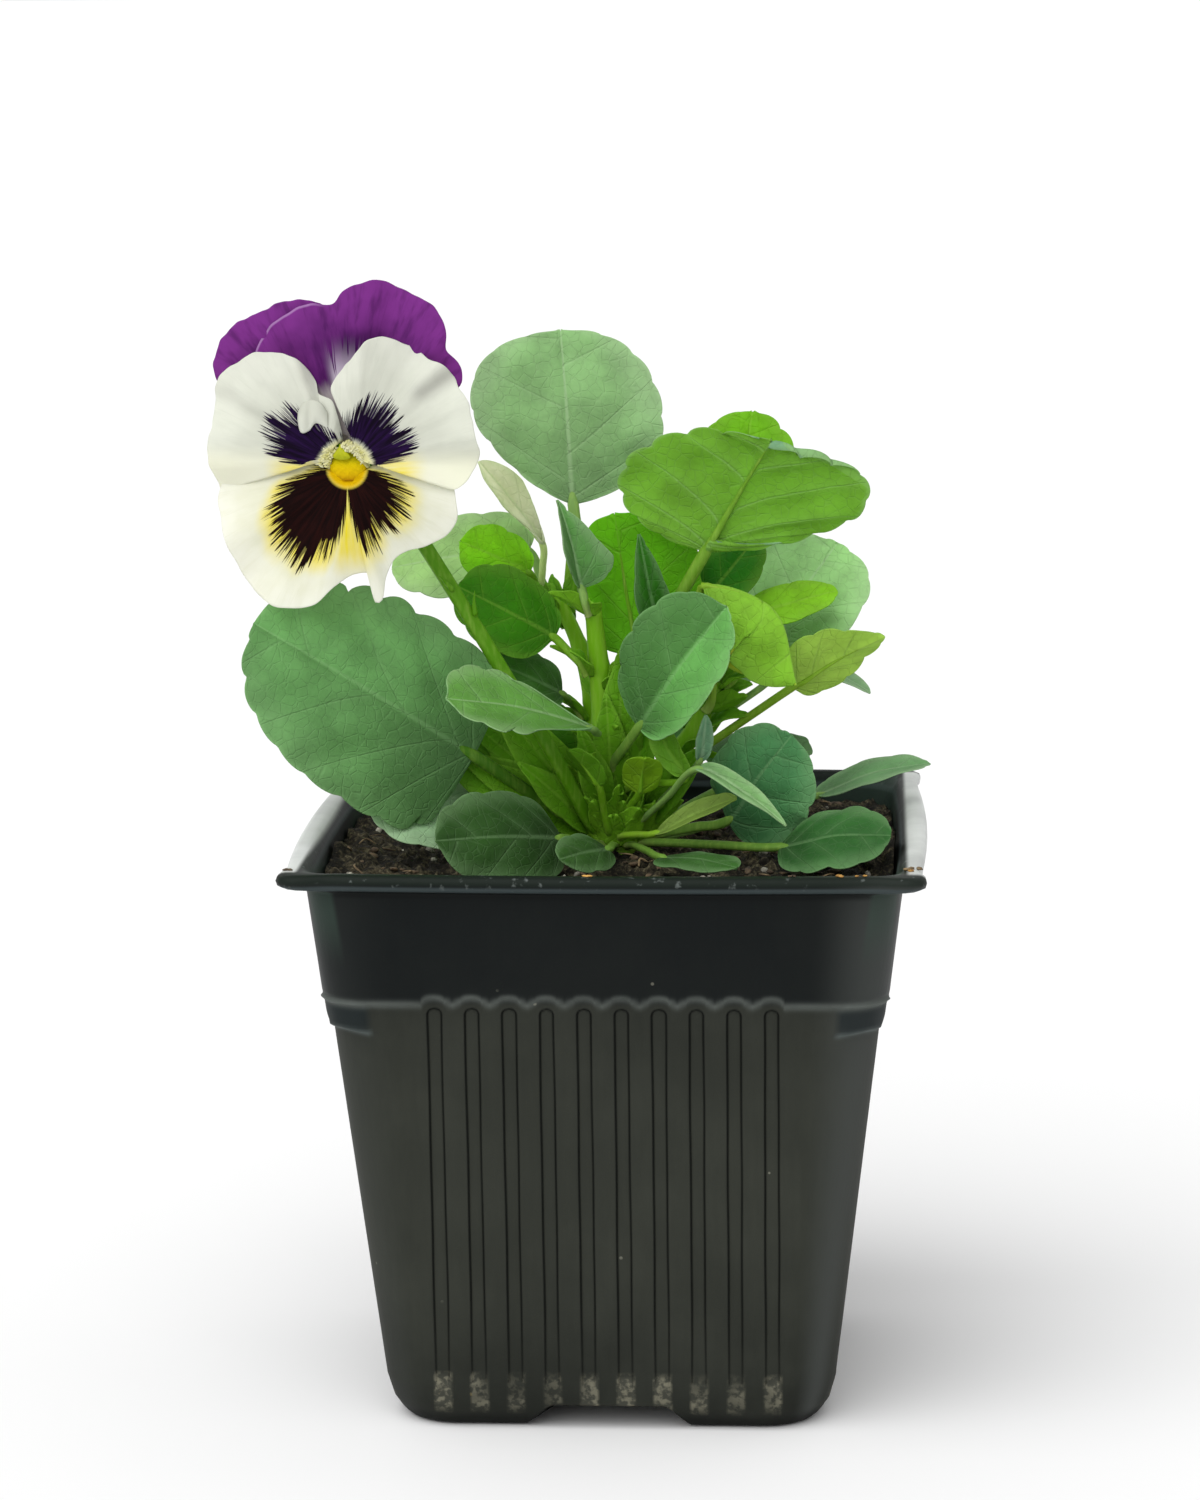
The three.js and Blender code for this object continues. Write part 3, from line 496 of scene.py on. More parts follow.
def groove_silt(x, z):
    """Where silt has dried in the feet of the grooves."""
    u = np.abs(x[..., None] - groove_middles()).min(axis=-1)
    return smooth(1.45, 1.05, u) * smooth(2.6, 3.6, z) * smooth(8.9, 7.9, z)


def ledge_arch(x):
    """How far the ledge rises round each groove's head."""
    u = (x[..., None] - groove_middles()) / ARCH_SPREAD
    return ARCH_HEIGHT * np.clip(1 - u**2, 0, 1).max(axis=-1) ** 0.5


def notch_rise(x):
    return NOTCH_HEIGHT * smooth(NOTCH_HALF, NOTCH_HALF - NOTCH_SHOULDER, np.abs(x))


def pot_level(table, z):
    """Half width, corner radius, bow and flare at heights z."""
    order = np.argsort(table[:, 0], kind="stable")
    return [np.interp(z, table[order, 0], table[order, i]) for i in (1, 2, 3, 4)]


def wall_point(half, corner, bow, flare, share_of_corner, along):
    """A place on a side of the pot, by its place along the flat or its share of the half corner."""
    reach = half - corner
    start = np.arcsin(np.clip((GROOVE_SPAN - reach) / corner, 0, 0.9))
    straight = np.maximum(reach - GROOVE_SPAN, 0)
    total = straight + corner * (math.pi / 4 - start)
    far = share_of_corner * total
    angle = np.clip(start + (far - straight) / corner, start, math.pi / 4)
    x_corner = np.where(far < straight, GROOVE_SPAN + far, reach + corner * np.sin(angle))
    x = np.where(share_of_corner > 0, np.sign(along) * x_corner, along)
    past = np.clip((np.abs(x) - reach) / corner, 0, 1)
    out = half - corner * (1 - np.sqrt(np.clip(1 - past**2, 0, 1)))
    out = out + bow * np.clip(1 - (x / reach) ** 2, 0, 1)
    push = flare * math.sqrt(0.5) * np.sin(2 * np.arcsin(past))
    return x + np.sign(along) * push, out + push


POT_CORNER_STEPS = 12


def pot_rings(heights, table, outside):
    """Rings round the pot at heights, with their grooves, lugs, ledge and notches."""
    flat = side_columns()
    shares = np.linspace(0, 1, POT_CORNER_STEPS + 1)[1:]
    along = np.concatenate([np.full(POT_CORNER_STEPS, -1.0), flat, np.ones(POT_CORNER_STEPS - 1)])
    share = np.concatenate([shares[::-1], np.zeros(len(flat)), shares[:-1]])
    z, along = np.meshgrid(heights, along, indexing="ij")
    share = np.broadcast_to(share, z.shape)
    groove_line = bead = silt = on_lug_mark = lug_edge = np.zeros(z.shape)
    rough_x, _ = wall_point(*pot_level(table, z), share, along)
    if outside:
        low = notch_rise(rough_x)
        z = z + low * np.clip(1 - z / NOTCH_FADE, 0, 1)
        near_ledge = np.exp(-((z - LEDGE_MIDDLE) / LEDGE_SPREAD) ** 4)
        level_z = z - ledge_arch(rough_x) * near_ledge * (share == 0)
        levels = pot_level(table, level_z)
        levels[1] = pot_level(table, z)[1]
    else:
        levels = pot_level(table, z)
    x, out = wall_point(*levels, share, along)
    if outside:
        depth, groove_line = groove_depth(x, z)
        # Where the bead under the ledge gets its painted highlight.
        bead = np.exp(-((level_z - 65.35) / 0.6) ** 2)
        bead_out = BEAD_OUT * np.exp(-((level_z - BEAD_HEIGHT) / 0.45) ** 2)
        silt = groove_silt(x, z)
        hidden = smooth(65.1, 65.4, z - ledge_arch(rough_x) * 0.9)
        out = out - depth * (1 - hidden) * (share == 0)
        groove_line = groove_line * (1 - hidden) * (share == 0)
        slant = LUG_BOTTOM + 1.2 * smooth(LUG_REACH + 18, 44, np.abs(x))
        on_lug = smooth(-0.35, 0.35, z - slant) * (1 - smooth(65.2, 66, z))
        near_corner = COLLAR_FOOT_HALF - LUG_REACH
        lug = LUG_OUT * on_lug * smooth(near_corner, near_corner + 0.5, np.abs(x))
        on_lug_mark = lug / LUG_OUT
        lug_edge = np.exp(-((z - slant) / 0.45) ** 2) * on_lug_mark.max(axis=0, keepdims=True)
        out = out + lug + bead_out
        x = x + np.sign(x) * lug * smooth(0.55, 1, share)
    parts = []
    for side in range(4):
        turn = math.radians(90 * side)
        cos, sin = math.cos(turn), math.sin(turn)
        # Side 0 faces -Y, with +X to its right.
        parts.append(np.stack([x * cos + out * sin, x * sin - out * cos, z], axis=-1))
    marks = {"groove_line": groove_line, "bead": bead, "silt": silt, "lug": on_lug_mark,
             "lug_edge": lug_edge, "corner": share * 1.0}
    around = {key: np.concatenate([mark] * 4, axis=1) for key, mark in marks.items()}
    return np.concatenate(parts, axis=1), around


def pot_material():
    paint = Paint("pot_charcoal")
    x, y, z = paint.split(paint.place())
    height, across, deep = z / MM, abs(x) / MM, abs(y) / MM
    streaks = paint.noise(800, 4, paint.drawn(0.05))
    clouds = paint.noise(60, 4)
    patches = paint.noise(190, 5)
    grain = paint.noise(2500, 2)
    panel = paint.step(66.2, 64.9, height)
    # Painted light on the panel: palest at half its height, with painted shade towards its foot and its
    # top.
    painted_panel_light = paint.ramp(height / POT_HEIGHT, [
        (0.0, 0.34), (0.08, 0.52), (0.24, 0.88), (0.44, 1.0), (0.6, 0.93), (0.7, 0.76), (0.765, 0.62)])
    cloudy = paint.step(0.35, 0.7, clouds) * (panel * 0.3 + 0.05)
    # A painted highlight down the corners of the pot, stronger on the right side.
    right_side = paint.step(-10 * MM, 10 * MM, x)
    corner_highlight = paint.step(0.25, 1.0, paint.mark("corner")) * (right_side * 0.5 + 0.12)
    # A painted highlight along the slanted lower edge of each lug.
    lug_edge_highlight = paint.math("MULTIPLY", paint.mark("lug_edge"), 0.7, clamp=True)
    # A painted highlight, in patches, along the bead under the ledge.
    bead = paint.mark("bead") * (patches * 0.7 + 0.45)
    color = paint.coat(
        paint.mix(panel, 0x0d1112, paint.mix(painted_panel_light, 0x0d0f0d, 0x30322c)),
        (cloudy, 0x3c3e37), (streaks * 0.3, 0x171a17), (corner_highlight, 0x454846),
        (paint.mark("lug") * 0.75, 0x151d20), (lug_edge_highlight, 0x59615f),
        (paint.math("MULTIPLY", bead, 0.95, clamp=True), 0x5b605c),
        # Painted shade in the creases along the edges of the grooves.
        (paint.math("MULTIPLY", paint.mark("groove_line"), 0.9, clamp=True), 0x0a0d0c),
        # Painted shade at the foot, where the wall turns under.
        (paint.step(3.2, 0.6, height) * 0.8, 0x0a0c0a))
    # The lip: dark above, with a painted highlight along its lower edge and a painted shadow under it.
    lip_shadow = paint.step(81.0, 81.9, height) * paint.step(82.7, 82.3, height)
    lip_edge_highlight = paint.step(82.4, 82.8, height) * paint.step(83.7, 83.2, height)
    lip_top = paint.step(83.3, 84.2, height)
    worn = paint.step(82.4, 84.6, height) * paint.step(0.6, 0.72, paint.noise(700, 5))
    color = paint.coat(color, (lip_shadow * 0.8, 0x090c0b), (lip_edge_highlight * 0.8, 0x3b4445),
                       (lip_top * 0.8, 0x171f19), (worn * 0.35, 0x8a928f))
    # Painted reflections on the flanges of the rim at the left and the right, pale and mottled.
    flange_reflection = paint.step(81.6, 83.6, height) * paint.step(42.9, 43.7, across)
    flange_reflection = flange_reflection * paint.step(43.5, 41.5, deep)
    mottle = paint.step(0.3, 0.62, paint.noise(45, 4)) * 0.3 + 0.68
    # A painted sheen on the inside of the wall, above the compost.
    inward = paint.most(across, deep) - (height * POT_SLOPE + POT_FOOT_HALF)
    glare = paint.step(-0.5, -0.9, inward) * paint.step(70, 80, height)
    silt_all = paint.mark("silt") * (paint.step(0.4, 0.6, paint.noise(95, 2)) * 0.8 + 0.2)
    silt = silt_all * paint.step(0.42, 0.6, paint.noise(900, 5))
    gold = silt * paint.step(0.66, 0.7, paint.noise(240, 2))
    specks = paint.step(0.1, 0.06, paint.cells(330, "F1")) * paint.step(0.6, 0.68, paint.noise(60, 2))
    color = paint.coat(color, (flange_reflection * mottle * 0.95, 0xdcdfdc), (glare * 0.6, 0x33423a),
                       (silt_all * 0.45, 0x4e4e45), (silt * 0.6, 0x7e7b6a), (gold, 0xa08a4a),
                       (specks * 0.4, 0x9c9b8c))
    rough = paint.math("ADD", panel * 0.14 + clouds * 0.16 + 0.36, silt * 0.3, clamp=True)
    normal = paint.bump(grain * 0.4 + streaks + silt * 1.2, 0.06, 0.5)
    return paint.finish(color, rough, normal, specular=0.08)


def make_pot():
    shape = Shape()
    heads = np.arange(62.6, 67.4, 0.17)
    lugs = np.array([59.6, 60.0, 60.2, 60.4, 60.6, 60.8, 61.0, 61.3, 61.7, 62.2])
    low = np.array([0, 0.35, 0.8, 1.4, 2.2, 3, 4, 5.2, 6.4, 6.9, 7.1, 7.3, 7.5, 7.7, 8.2, 9.2])
    panel = np.linspace(12, 58, 14)
    band = np.linspace(68.2, 81.4, 9)
    lip = POT_OUTSIDE[POT_OUTSIDE[:, 0] > 81.5, 0]
    outer, outer_marks = pot_rings(np.concatenate([low, panel, lugs, heads, band, lip]), POT_OUTSIDE, True)
    inside_z = np.concatenate([POT_INSIDE[:5, 0], [80, 76, 72, 66.4, 64.6, 40, 8, 5.6]])
    inner, _ = pot_rings(inside_z, POT_INSIDE, False)
    floor_inner = [inner[-1:] * (share, share, 1) for share in (0.8, 0.5, 0.2)]
    foot = outer[:1]
    under = []
    for share in (0.15, 0.45, 0.75, 0.93):
        ring_under = foot * (share, share, 1)
        ring_under[..., 2] = foot[..., 2] * smooth(0.4, 0.8, share)
        under.append(ring_under)
    rows = np.concatenate([*under, outer, inner, *floor_inner])
    marks = {}
    for key, values in outer_marks.items():
        whole = np.zeros(rows.shape[:2])
        whole[len(under):len(under) + len(outer)] = values
        marks[key] = whole.ravel()
    shape.rings(rows, **marks)
    shape.make("pot_body", [pot_material()], "pot")


# ---------------------------------------------------------------- soil
PERLITE_GRAINS = 60
BARK_CHIPS = 150
FIBRES = 110
SCATTER_REACH = 39
CROWN_CLEAR = 8
RING_SIDE_POINTS = 56
RING_CORNER_POINTS = 13
SOIL_GAP = 0.3
SOIL_TOP = 80.6
SOIL_FOOT = 5.9
SOIL_HEAPS = ((44, -12, 4.2, 9), (-44, -12, 1.6, 8), (-24, 26, -1.2, 12))
SOIL_RIPPLE = (0.35, 0.5, 0.43)
CRUMB_HEIGHT = 1.9
CRUMB_SIZE = 3.1
GRIT_HEIGHT = 1.1
GRIT_SIZE = 0.9
# Crumbs that lie on the pot's rim: x, y, size and which of the soil's stuffs.
RIM_CRUMBS = (
    (43.7, -38.6, 0.9, 3), (43.9, -40.4, 0.6, 4), (33.6, -44.2, 0.6, 4), (36.4, -44.1, 0.5, 4),
    (-1.4, -45.1, 0.6, 4), (14.5, -44.9, 0.4, 1), (-44.2, -41.5, 0.7, 2), (27.0, -44.4, 0.4, 2),
)


def square_ring(half, corner, bow):
    """A square with round corners and sides that bow outward."""
    reach = half - corner
    share = np.linspace(-1, 1, RING_SIDE_POINTS)
    angle = np.linspace(0, math.pi / 2, RING_CORNER_POINTS)[1:-1]
    out = np.concatenate([half + bow * (1 - share**2), reach + corner * np.cos(angle)])
    along = np.concatenate([reach * share, reach + corner * np.sin(angle)])
    parts = []
    for side in range(4):
        cos, sin = math.cos(math.pi / 2 * side), math.sin(math.pi / 2 * side)
        parts.append(np.stack([out * cos - along * sin, out * sin + along * cos], axis=-1))
    return np.concatenate(parts)


def soil_height(x, y):
    high = SOIL_TOP + SOIL_RIPPLE[0] * np.sin(x * SOIL_RIPPLE[1]) * np.cos(y * SOIL_RIPPLE[2])
    for heap_x, heap_y, height, spread in SOIL_HEAPS:
        high = high + height * np.exp(-((x - heap_x) ** 2 + (y - heap_y) ** 2) / spread**2)
    return high


def crumbs(x, y):
    """Lumps and grit of the compost at one place."""
    lump = abs(noise.noise((x / CRUMB_SIZE, y / CRUMB_SIZE, 3.7)))
    small = noise.noise((x / CRUMB_SIZE * 2.3, y / CRUMB_SIZE * 2.3, 9.1))
    grit = noise.noise((x / GRIT_SIZE, y / GRIT_SIZE, 1.3))
    return CRUMB_HEIGHT * (lump - 0.25) + 0.5 * CRUMB_HEIGHT * small + GRIT_HEIGHT * grit * abs(grit)


def inside_ring(z):
    half, corner, bow, _ = (float(v) for v in pot_level(POT_INSIDE, z))
    return square_ring(half - SOIL_GAP, corner, bow)


def lump_part(shape, center, size, turn, seed, material):
    """A small rough lump, like a chip of bark or a grain of perlite."""
    points = ball(5, 8)
    swell = np.random.default_rng(seed).uniform(0.7, 1.15, points.shape[:2])
    points = points * swell[..., None] * size
    turned = points @ np.array(Matrix.Rotation(turn[0], 3, "X") @ Matrix.Rotation(turn[1], 3, "Z")).T
    shape.rings(turned + center, material)


def soil_materials():
    paint = Paint("compost")
    coarse = paint.noise(330, 5)
    fine = paint.noise(1900, 3)
    color = paint.ramp(fine * 0.45 + coarse * 0.6, [
        (0.36, 0x080705), (0.5, 0x1d1a12), (0.6, 0x464030), (0.74, 0x827b60)])
    normal = paint.bump(coarse + fine, 0.5, 0.8)
    compost = paint.finish(color, 0.92, normal, specular=0.2)
    chips = []
    for name, dark, light, rough in (
        ("perlite", 0x67645a, 0xb4b0a0, 0.85), ("bark", 0x2a2118, 0x6d5a42, 0.8),
        ("fibre", 0x4a3b2a, 0x8f7a58, 0.8), ("crumb_gold", 0x8a6230, 0xd0a050, 0.8),
    ):
        paint = Paint(name)
        mottle = paint.step(0.3, 0.7, paint.noise(700, 4))
        normal = paint.bump(paint.noise(2400, 3), 0.15, 0.7)
        chips.append(paint.finish(paint.mix(mottle, dark, light), rough, normal))
    return [compost, *chips]


def make_soil():
    shape = Shape()
    rng = np.random.default_rng(11)
    edge = inside_ring(SOIL_TOP)
    shares = np.concatenate([np.linspace(1, 0.95, 5)[:-1], np.linspace(0.95, 0.04, 78)])
    rows = []
    for share in shares:
        x, y = (edge * share).T
        rough = np.array([crumbs(a, b) for a, b in zip(x, y)])
        rows.append(np.stack([x, y, soil_height(x, y) + rough], axis=1))
    body = [np.column_stack([inside_ring(z), np.full(len(edge), z)]) for z in (SOIL_FOOT, 8, 30, 55, 75)]
    shape.rings(np.array(body + rows))

    def scatter():
        """A random place on the compost, off the crown."""
        while True:
            x, y = rng.uniform(-SCATTER_REACH, SCATTER_REACH, 2)
            if math.hypot(x, y) > CROWN_CLEAR:
                return x, y, float(soil_height(x, y)) + crumbs(x, y)

    for k in range(PERLITE_GRAINS):
        size = rng.uniform(0.3, 0.7) * rng.uniform(0.75, 1.2, 3)
        lump_part(shape, scatter(), size, rng.uniform(0, 3, 2), 100 + k, 1)
    for k in range(BARK_CHIPS):
        size = rng.uniform(0.6, 1.9) * np.array([1, rng.uniform(0.35, 0.7), rng.uniform(0.2, 0.45)])
        lump_part(shape, scatter(), size, (rng.uniform(-0.5, 0.5), rng.uniform(0, 3)), 400 + k, 2)
    for k in range(FIBRES):
        x, y, z = scatter()
        way = compass(rng.uniform(0, 360)) * rng.uniform(2, 6)
        bend = compass(rng.uniform(0, 360)) * rng.uniform(0.3, 1.5)
        start = np.array([x, y, z + 0.1])
        end = start + way
        end[:2] = np.clip(end[:2], -SCATTER_REACH, SCATTER_REACH)
        end[2] = float(soil_height(end[0], end[1])) + rng.uniform(0, 1.2)
        middle = (start + end) / 2 + bend + (0, 0, rng.uniform(0.1, 0.8))
        radii = rng.uniform(0.09, 0.2) * np.array([0.6, 1, 1, 1, 1, 0.8, 0.4])
        shape.tube(Curve([start, middle, end]), np.linspace(0, 1, 7), radii, (0, 0, 1), 5, material=3)
    for k, (x, y, size, stuff) in enumerate(RIM_CRUMBS):
        for part in range(3):
            spot = (x + rng.normal(0, size), y + rng.normal(0, 0.25), POT_HEIGHT + 0.12)
            lump = size * np.array([rng.uniform(0.5, 1.0), 0.4, 0.3])
            lump_part(shape, spot, lump, (0, rng.uniform(-0.4, 0.4)), 700 + 3 * k + part, stuff)
    shape.make("soil_compost", soil_materials(), "soil")


# ---------------------------------------------------------------- plant
SEAT = 0.35
CROWN_CENTER = np.array([0, 0, 80.6])
CROWN_RADII = np.array([5.2, 5.2, 5.6])
CROWN_GRID = (20, 36)
BRANCHES = {
    "centre": (((0, -1, 84), (-1, -3, 94), (-2, -4, 106), (-3, -6, 118)), (2.4, 2.1, 1.7, 1.2)),
    "right": (((2.5, 1, 84), (7, 1, 92), (12, 1, 99), (15, 1, 106)), (2, 1.7, 1.4, 1.1)),
    "left": (((-2, 3, 84), (-3, 5, 95), (-5, 6, 108), (-9, 6, 118)), (1.9, 1.6, 1.3, 1)),
}
YOUNG_BLADES = 20
YOUNG_TURN = (185, 355)
YOUNG_LENGTH = (7, 13)
# Longer young leaves of the crown: compass angle and slope of the foot, tip and width.
LONG_BLADES = (
    (270, 70, (1.5, -10, 113), 7), (256, 64, (-1, -10, 106), 6), (212, 42, (-18, -10, 105), 8),
    (190, 34, (-27, -5, 101), 9), (202, 26, (-27, -8, 96.5), 9), (196, 40, (-22, -5, 101), 7),
    (206, 30, (-23, -9, 96), 6), (190, 50, (-16, -4, 103), 6), (222, 34, (-14, -13, 96), 5),
    (300, 60, (5, -8, 101), 6), (318, 50, (9, -8, 97), 6), (285, 64, (1, -8, 103), 5),
    (335, 40, (14, -8, 98), 5), (250, 50, (-5, -11, 101), 5),
)
STALK_LEAST = 0.5
STALK_SHARE = 0.013
STALK_START = 2

OUTLINE_POINTS = 600
BLADE_THICK = (0.42, 0.16)
PETAL_THICK = (0.34, 0.12)


def branch_radius(name, t):
    return np.interp(t, np.linspace(0, 1, 4), BRANCHES[name][1])


def seat_on(carrier, first, second):
    """Where a stalk starts, a hair off its carrier, and which way out."""
    if carrier == "crown":
        slope = math.radians(second)
        way = compass(first) * math.cos(slope) + (0, 0, math.sin(slope))
        start = CROWN_RADII * way
        out = unit(start / CROWN_RADII**2)
        return start + CROWN_CENTER + out * SEAT, out
    curve = Curve(BRANCHES[carrier][0])
    ahead = curve.heading(first)
    way = compass(second)
    out = unit(way - ahead * (way @ ahead))
    return curve.at(first) + out * (branch_radius(carrier, first) + SEAT), out


def half_width(share, belly, base, tip):
    """Half width of a blade from neck to tip as a share of its greatest half width."""
    bent = 2 * np.clip(share, 1e-9, 1) ** (math.log(0.5) / math.log(belly)) - 1
    power = np.where(bent < 0, base, tip)
    return np.clip(1 - np.abs(bent) ** power, 0, 1) ** (1 / power)


class Blade:
    """A thin leaf blade that grows from place t0 of a curve to the curve's end."""

    belly_left = None
    teeth = 5
    tooth_depth = 0.034
    tooth_from = 0.04
    veins = 5
    lean = 3.0
    vein_bend = 1.05
    stalk_tone = None
    shear = 0.0
    base_round = 2.5
    tip_round = 2.0
    rows = 112
    columns = 15
    wave = 0.02
    quilt = 0.016
    swell = 0.007
    left = right = None
    sides = (1.0, 1.0)
    rolls = ()
    # Share of painted shade on each side of the blade.
    gloom = (0.0, 0.0)
    cup = 0.0

    def __init__(self, curve, t0, face, width, belly, seed, **looks):
        self.curve, self.t0, self.width, self.belly, self.seed = curve, t0, width, belly, seed
        self.face = unit(face)
        for key, value in looks.items():
            setattr(self, key, value)
        reach = curve.at(np.linspace(t0, 1, 60))
        self.length = float(np.linalg.norm(np.diff(reach, axis=0), axis=1).sum())

    def outline(self, side):
        """Places along the margin at equal distances, and their outward directions."""
        belly = self.belly_left if side < 0 and self.belly_left else self.belly
        fine = 0.5 * (1 - np.cos(np.linspace(0, math.pi, OUTLINE_POINTS)))
        wide = self.width / 2 * half_width(fine, belly, self.base_round, self.tip_round)
        far = np.concatenate([[0], np.cumsum(np.hypot(np.diff(fine) * self.length, np.diff(wide)))])
        share = np.linspace(0, 1, self.rows + 1)
        u = np.interp(share * far[-1], far, fine)
        across = np.interp(share * far[-1], far, wide)
        along_way, out_way = np.gradient(u * self.length), np.gradient(across)
        size = np.hypot(along_way, out_way) + 1e-9
        return share, u, across, -out_way / size, along_way / size

    def flat(self, side, rng):
        """One side laid flat: places along and across, height, and the marks for its colours."""
        share, u, across, normal_x, normal_y = self.outline(side)
        factor = self.sides[0 if side < 0 else 1]
        x = np.linspace(0, 1, self.columns + 1)[None, :]
        v = 1 - (1 - x) ** 1.45
        lobe = (share * self.teeth + rng.uniform(0, 0.5)) % 1
        size = self.tooth_depth * self.width
        ends = smooth(self.tooth_from, self.tooth_from + 0.16, share) * smooth(1.0, 0.9, share)
        tooth = size * (np.sin(math.pi * lobe**0.8) ** 0.6 - 0.75) * ends
        tooth = tooth * (1 + 0.5 * np.sin(share * 7 + rng.uniform(0, 6)))
        wide = np.maximum(across * factor, 0.1)
        spine = u**self.lean
        pull = v**3.5
        along = self.length * (spine[:, None] + (u - spine)[:, None] * v**self.vein_bend)
        along = along + (normal_x * tooth)[:, None] * pull
        out = wide[:, None] * v + (normal_y * tooth)[:, None] * pull
        along = along - self.shear * side * out
        lift = np.zeros(along.shape)
        for roll_side, start, end, depth, radius, way in self.rolls:
            if roll_side != side:
                continue
            fade = 0.1
            deep = depth * smooth(start - fade, start + fade, share) * smooth(end + fade, end - fade, share)
            if end >= 1:
                deep = depth * smooth(start - fade, start + fade, share)
            gap = ((along[:, -1:] - along) * normal_x[:, None]
                   + (out[:, -1:] - out) * normal_y[:, None])
            past = np.maximum(deep[:, None] - gap, 0)
            pulled = radius * np.sin(past / radius) - past
            along = along + normal_x[:, None] * pulled
            out = out + normal_y[:, None] * pulled
            lift = lift + way * radius * (1 - np.cos(past / radius))
        return share, v, along, out, lift

    def add_to(self, shape, material=0):
        rng = np.random.default_rng(self.seed)
        parts = []
        for side in (-1, 1):
            share, v, along, out, lift = self.flat(side, rng)
            angles = self.left if side < 0 else self.right
            steps = np.diff(v, axis=1)
            if angles is None:
                slope = np.degrees(np.arctan(4 * self.cup / self.width))
                angles = (0, 0.5 * slope, slope)
            tilt = np.radians(np.interp(v[0], np.linspace(0, 1, len(angles)), angles))
            middle = (tilt[1:] + tilt[:-1]) / 2
            cos = np.concatenate([[0], np.cumsum(np.cos(middle) * steps[0])])
            sin = np.concatenate([[0], np.cumsum(np.sin(middle) * steps[0])])
            safe = np.maximum(v[0], 1e-6)
            y = out * (cos / safe)
            z = out * (sin / safe) + lift
            veins = share[:, None] * self.veins + (0.15 if side < 0 else 0.45)
            phases = rng.uniform(0, 2 * math.pi, 3)
            flutter = (np.sin(2 * math.pi * 1.4 * share + phases[0]) + 0.6 * np.sin(
                2 * math.pi * 2.7 * share + phases[1]))[:, None]
            calm = (smooth(0.15, 0.5, share) * smooth(1.0, 0.8, share))[:, None]
            calm = calm * smooth(0.08, 0.6, np.hypot(along, out) / self.length)
            z = z + self.wave * self.width * flutter * v**2.2 * calm
            puff = self.quilt * self.width * np.abs(np.sin(math.pi * (veins - 0.5))) ** 1.3
            puff = puff * np.sin(math.pi * np.clip(v, 0, 1) ** 0.75) * calm
            puff = puff - 0.22 * np.exp(-(out / 0.55) ** 2)
            spots = rng.uniform(0, 2 * math.pi, 4)
            swell = np.sin(along * 0.42 + spots[0]) * np.sin(out * 0.47 + spots[1])
            swell = swell + 0.6 * np.sin(along * 0.9 + spots[2]) * np.sin(out * 0.83 + spots[3])
            puff = puff + self.swell * self.width * swell * smooth(0, 0.3, v) * calm
            side_shade_share = self.gloom[0 if side < 0 else 1] * np.ones(along.shape)
            parts.append([along, side * y, z, veins + 0 * v, v + 0 * along, out, puff, side_shade_share])
        left, right = parts
        join = [np.concatenate([a[:, :0:-1], b], axis=1) for a, b in zip(left, right)]
        along, y, z, veins, edge, rib, puff, side_shade_share = join
        clipped = np.clip(along, 0, self.length)
        t = self.t0 + (1 - self.t0) * clipped / self.length
        place, ahead, across, up = self.curve.frame(t, self.face)
        sheet = place + ahead * (along - clipped)[..., None] + across * y[..., None] + up * z[..., None]
        rows_way = np.gradient(sheet, axis=0)
        columns_way = np.gradient(sheet, axis=1)
        normal = np.cross(columns_way, rows_way)
        flip = np.sign((normal * up).sum(axis=-1).mean()) or 1
        size = np.linalg.norm(normal, axis=-1, keepdims=True)
        fallback = up if flip > 0 else -up
        normal = np.where(size > 1e-7, normal / np.maximum(size, 1e-12), fallback) * flip
        half = (BLADE_THICK[0] + (BLADE_THICK[1] - BLADE_THICK[0]) * edge)[..., None] / 2
        raised = sheet + normal * puff[..., None]
        step = 1.0 / self.rows * self.veins
        gap = np.linalg.norm(rows_way, axis=-1) / step
        flat = np.stack([along, np.sign(y) * rib, np.full(along.shape, self.seed % 97 * 3.0)], axis=-1)
        ones = np.ones(along.shape)
        marks = {
            "vein": veins, "gap": gap, "rib": rib, "edge": edge, "along": along / self.length,
            "under": (0 * ones, ones), "flat": flat, "gloom": side_shade_share,
        }
        shape.sheet(raised + normal * half, raised - normal * half, material, **marks)


def leaf_color(hex_color, dark, light):
    """A colour with its brightness scaled, for the darker and lighter parts of a leaf."""
    red, green, blue, _ = shade(hex_color)
    low = (red * dark, green * dark, blue * dark, 1)
    high = tuple(min(1.0, c * light) for c in (red, green, blue)) + (1,)
    return low, high


# Paints that are made already, by tone and colours.
BLADE_PAINTS = {}
# Each tone's colour of veins and of the light that comes through the leaf.
TONES = {
    "dark": (0x9cc48c, 0x8fc850), "glaucous": (0xc4dcb4, 0xa8d070),
    "bright": (0x9ccc4c, 0x9ce000), "yellow": (0xa6cc62, 0xb0d820),
}


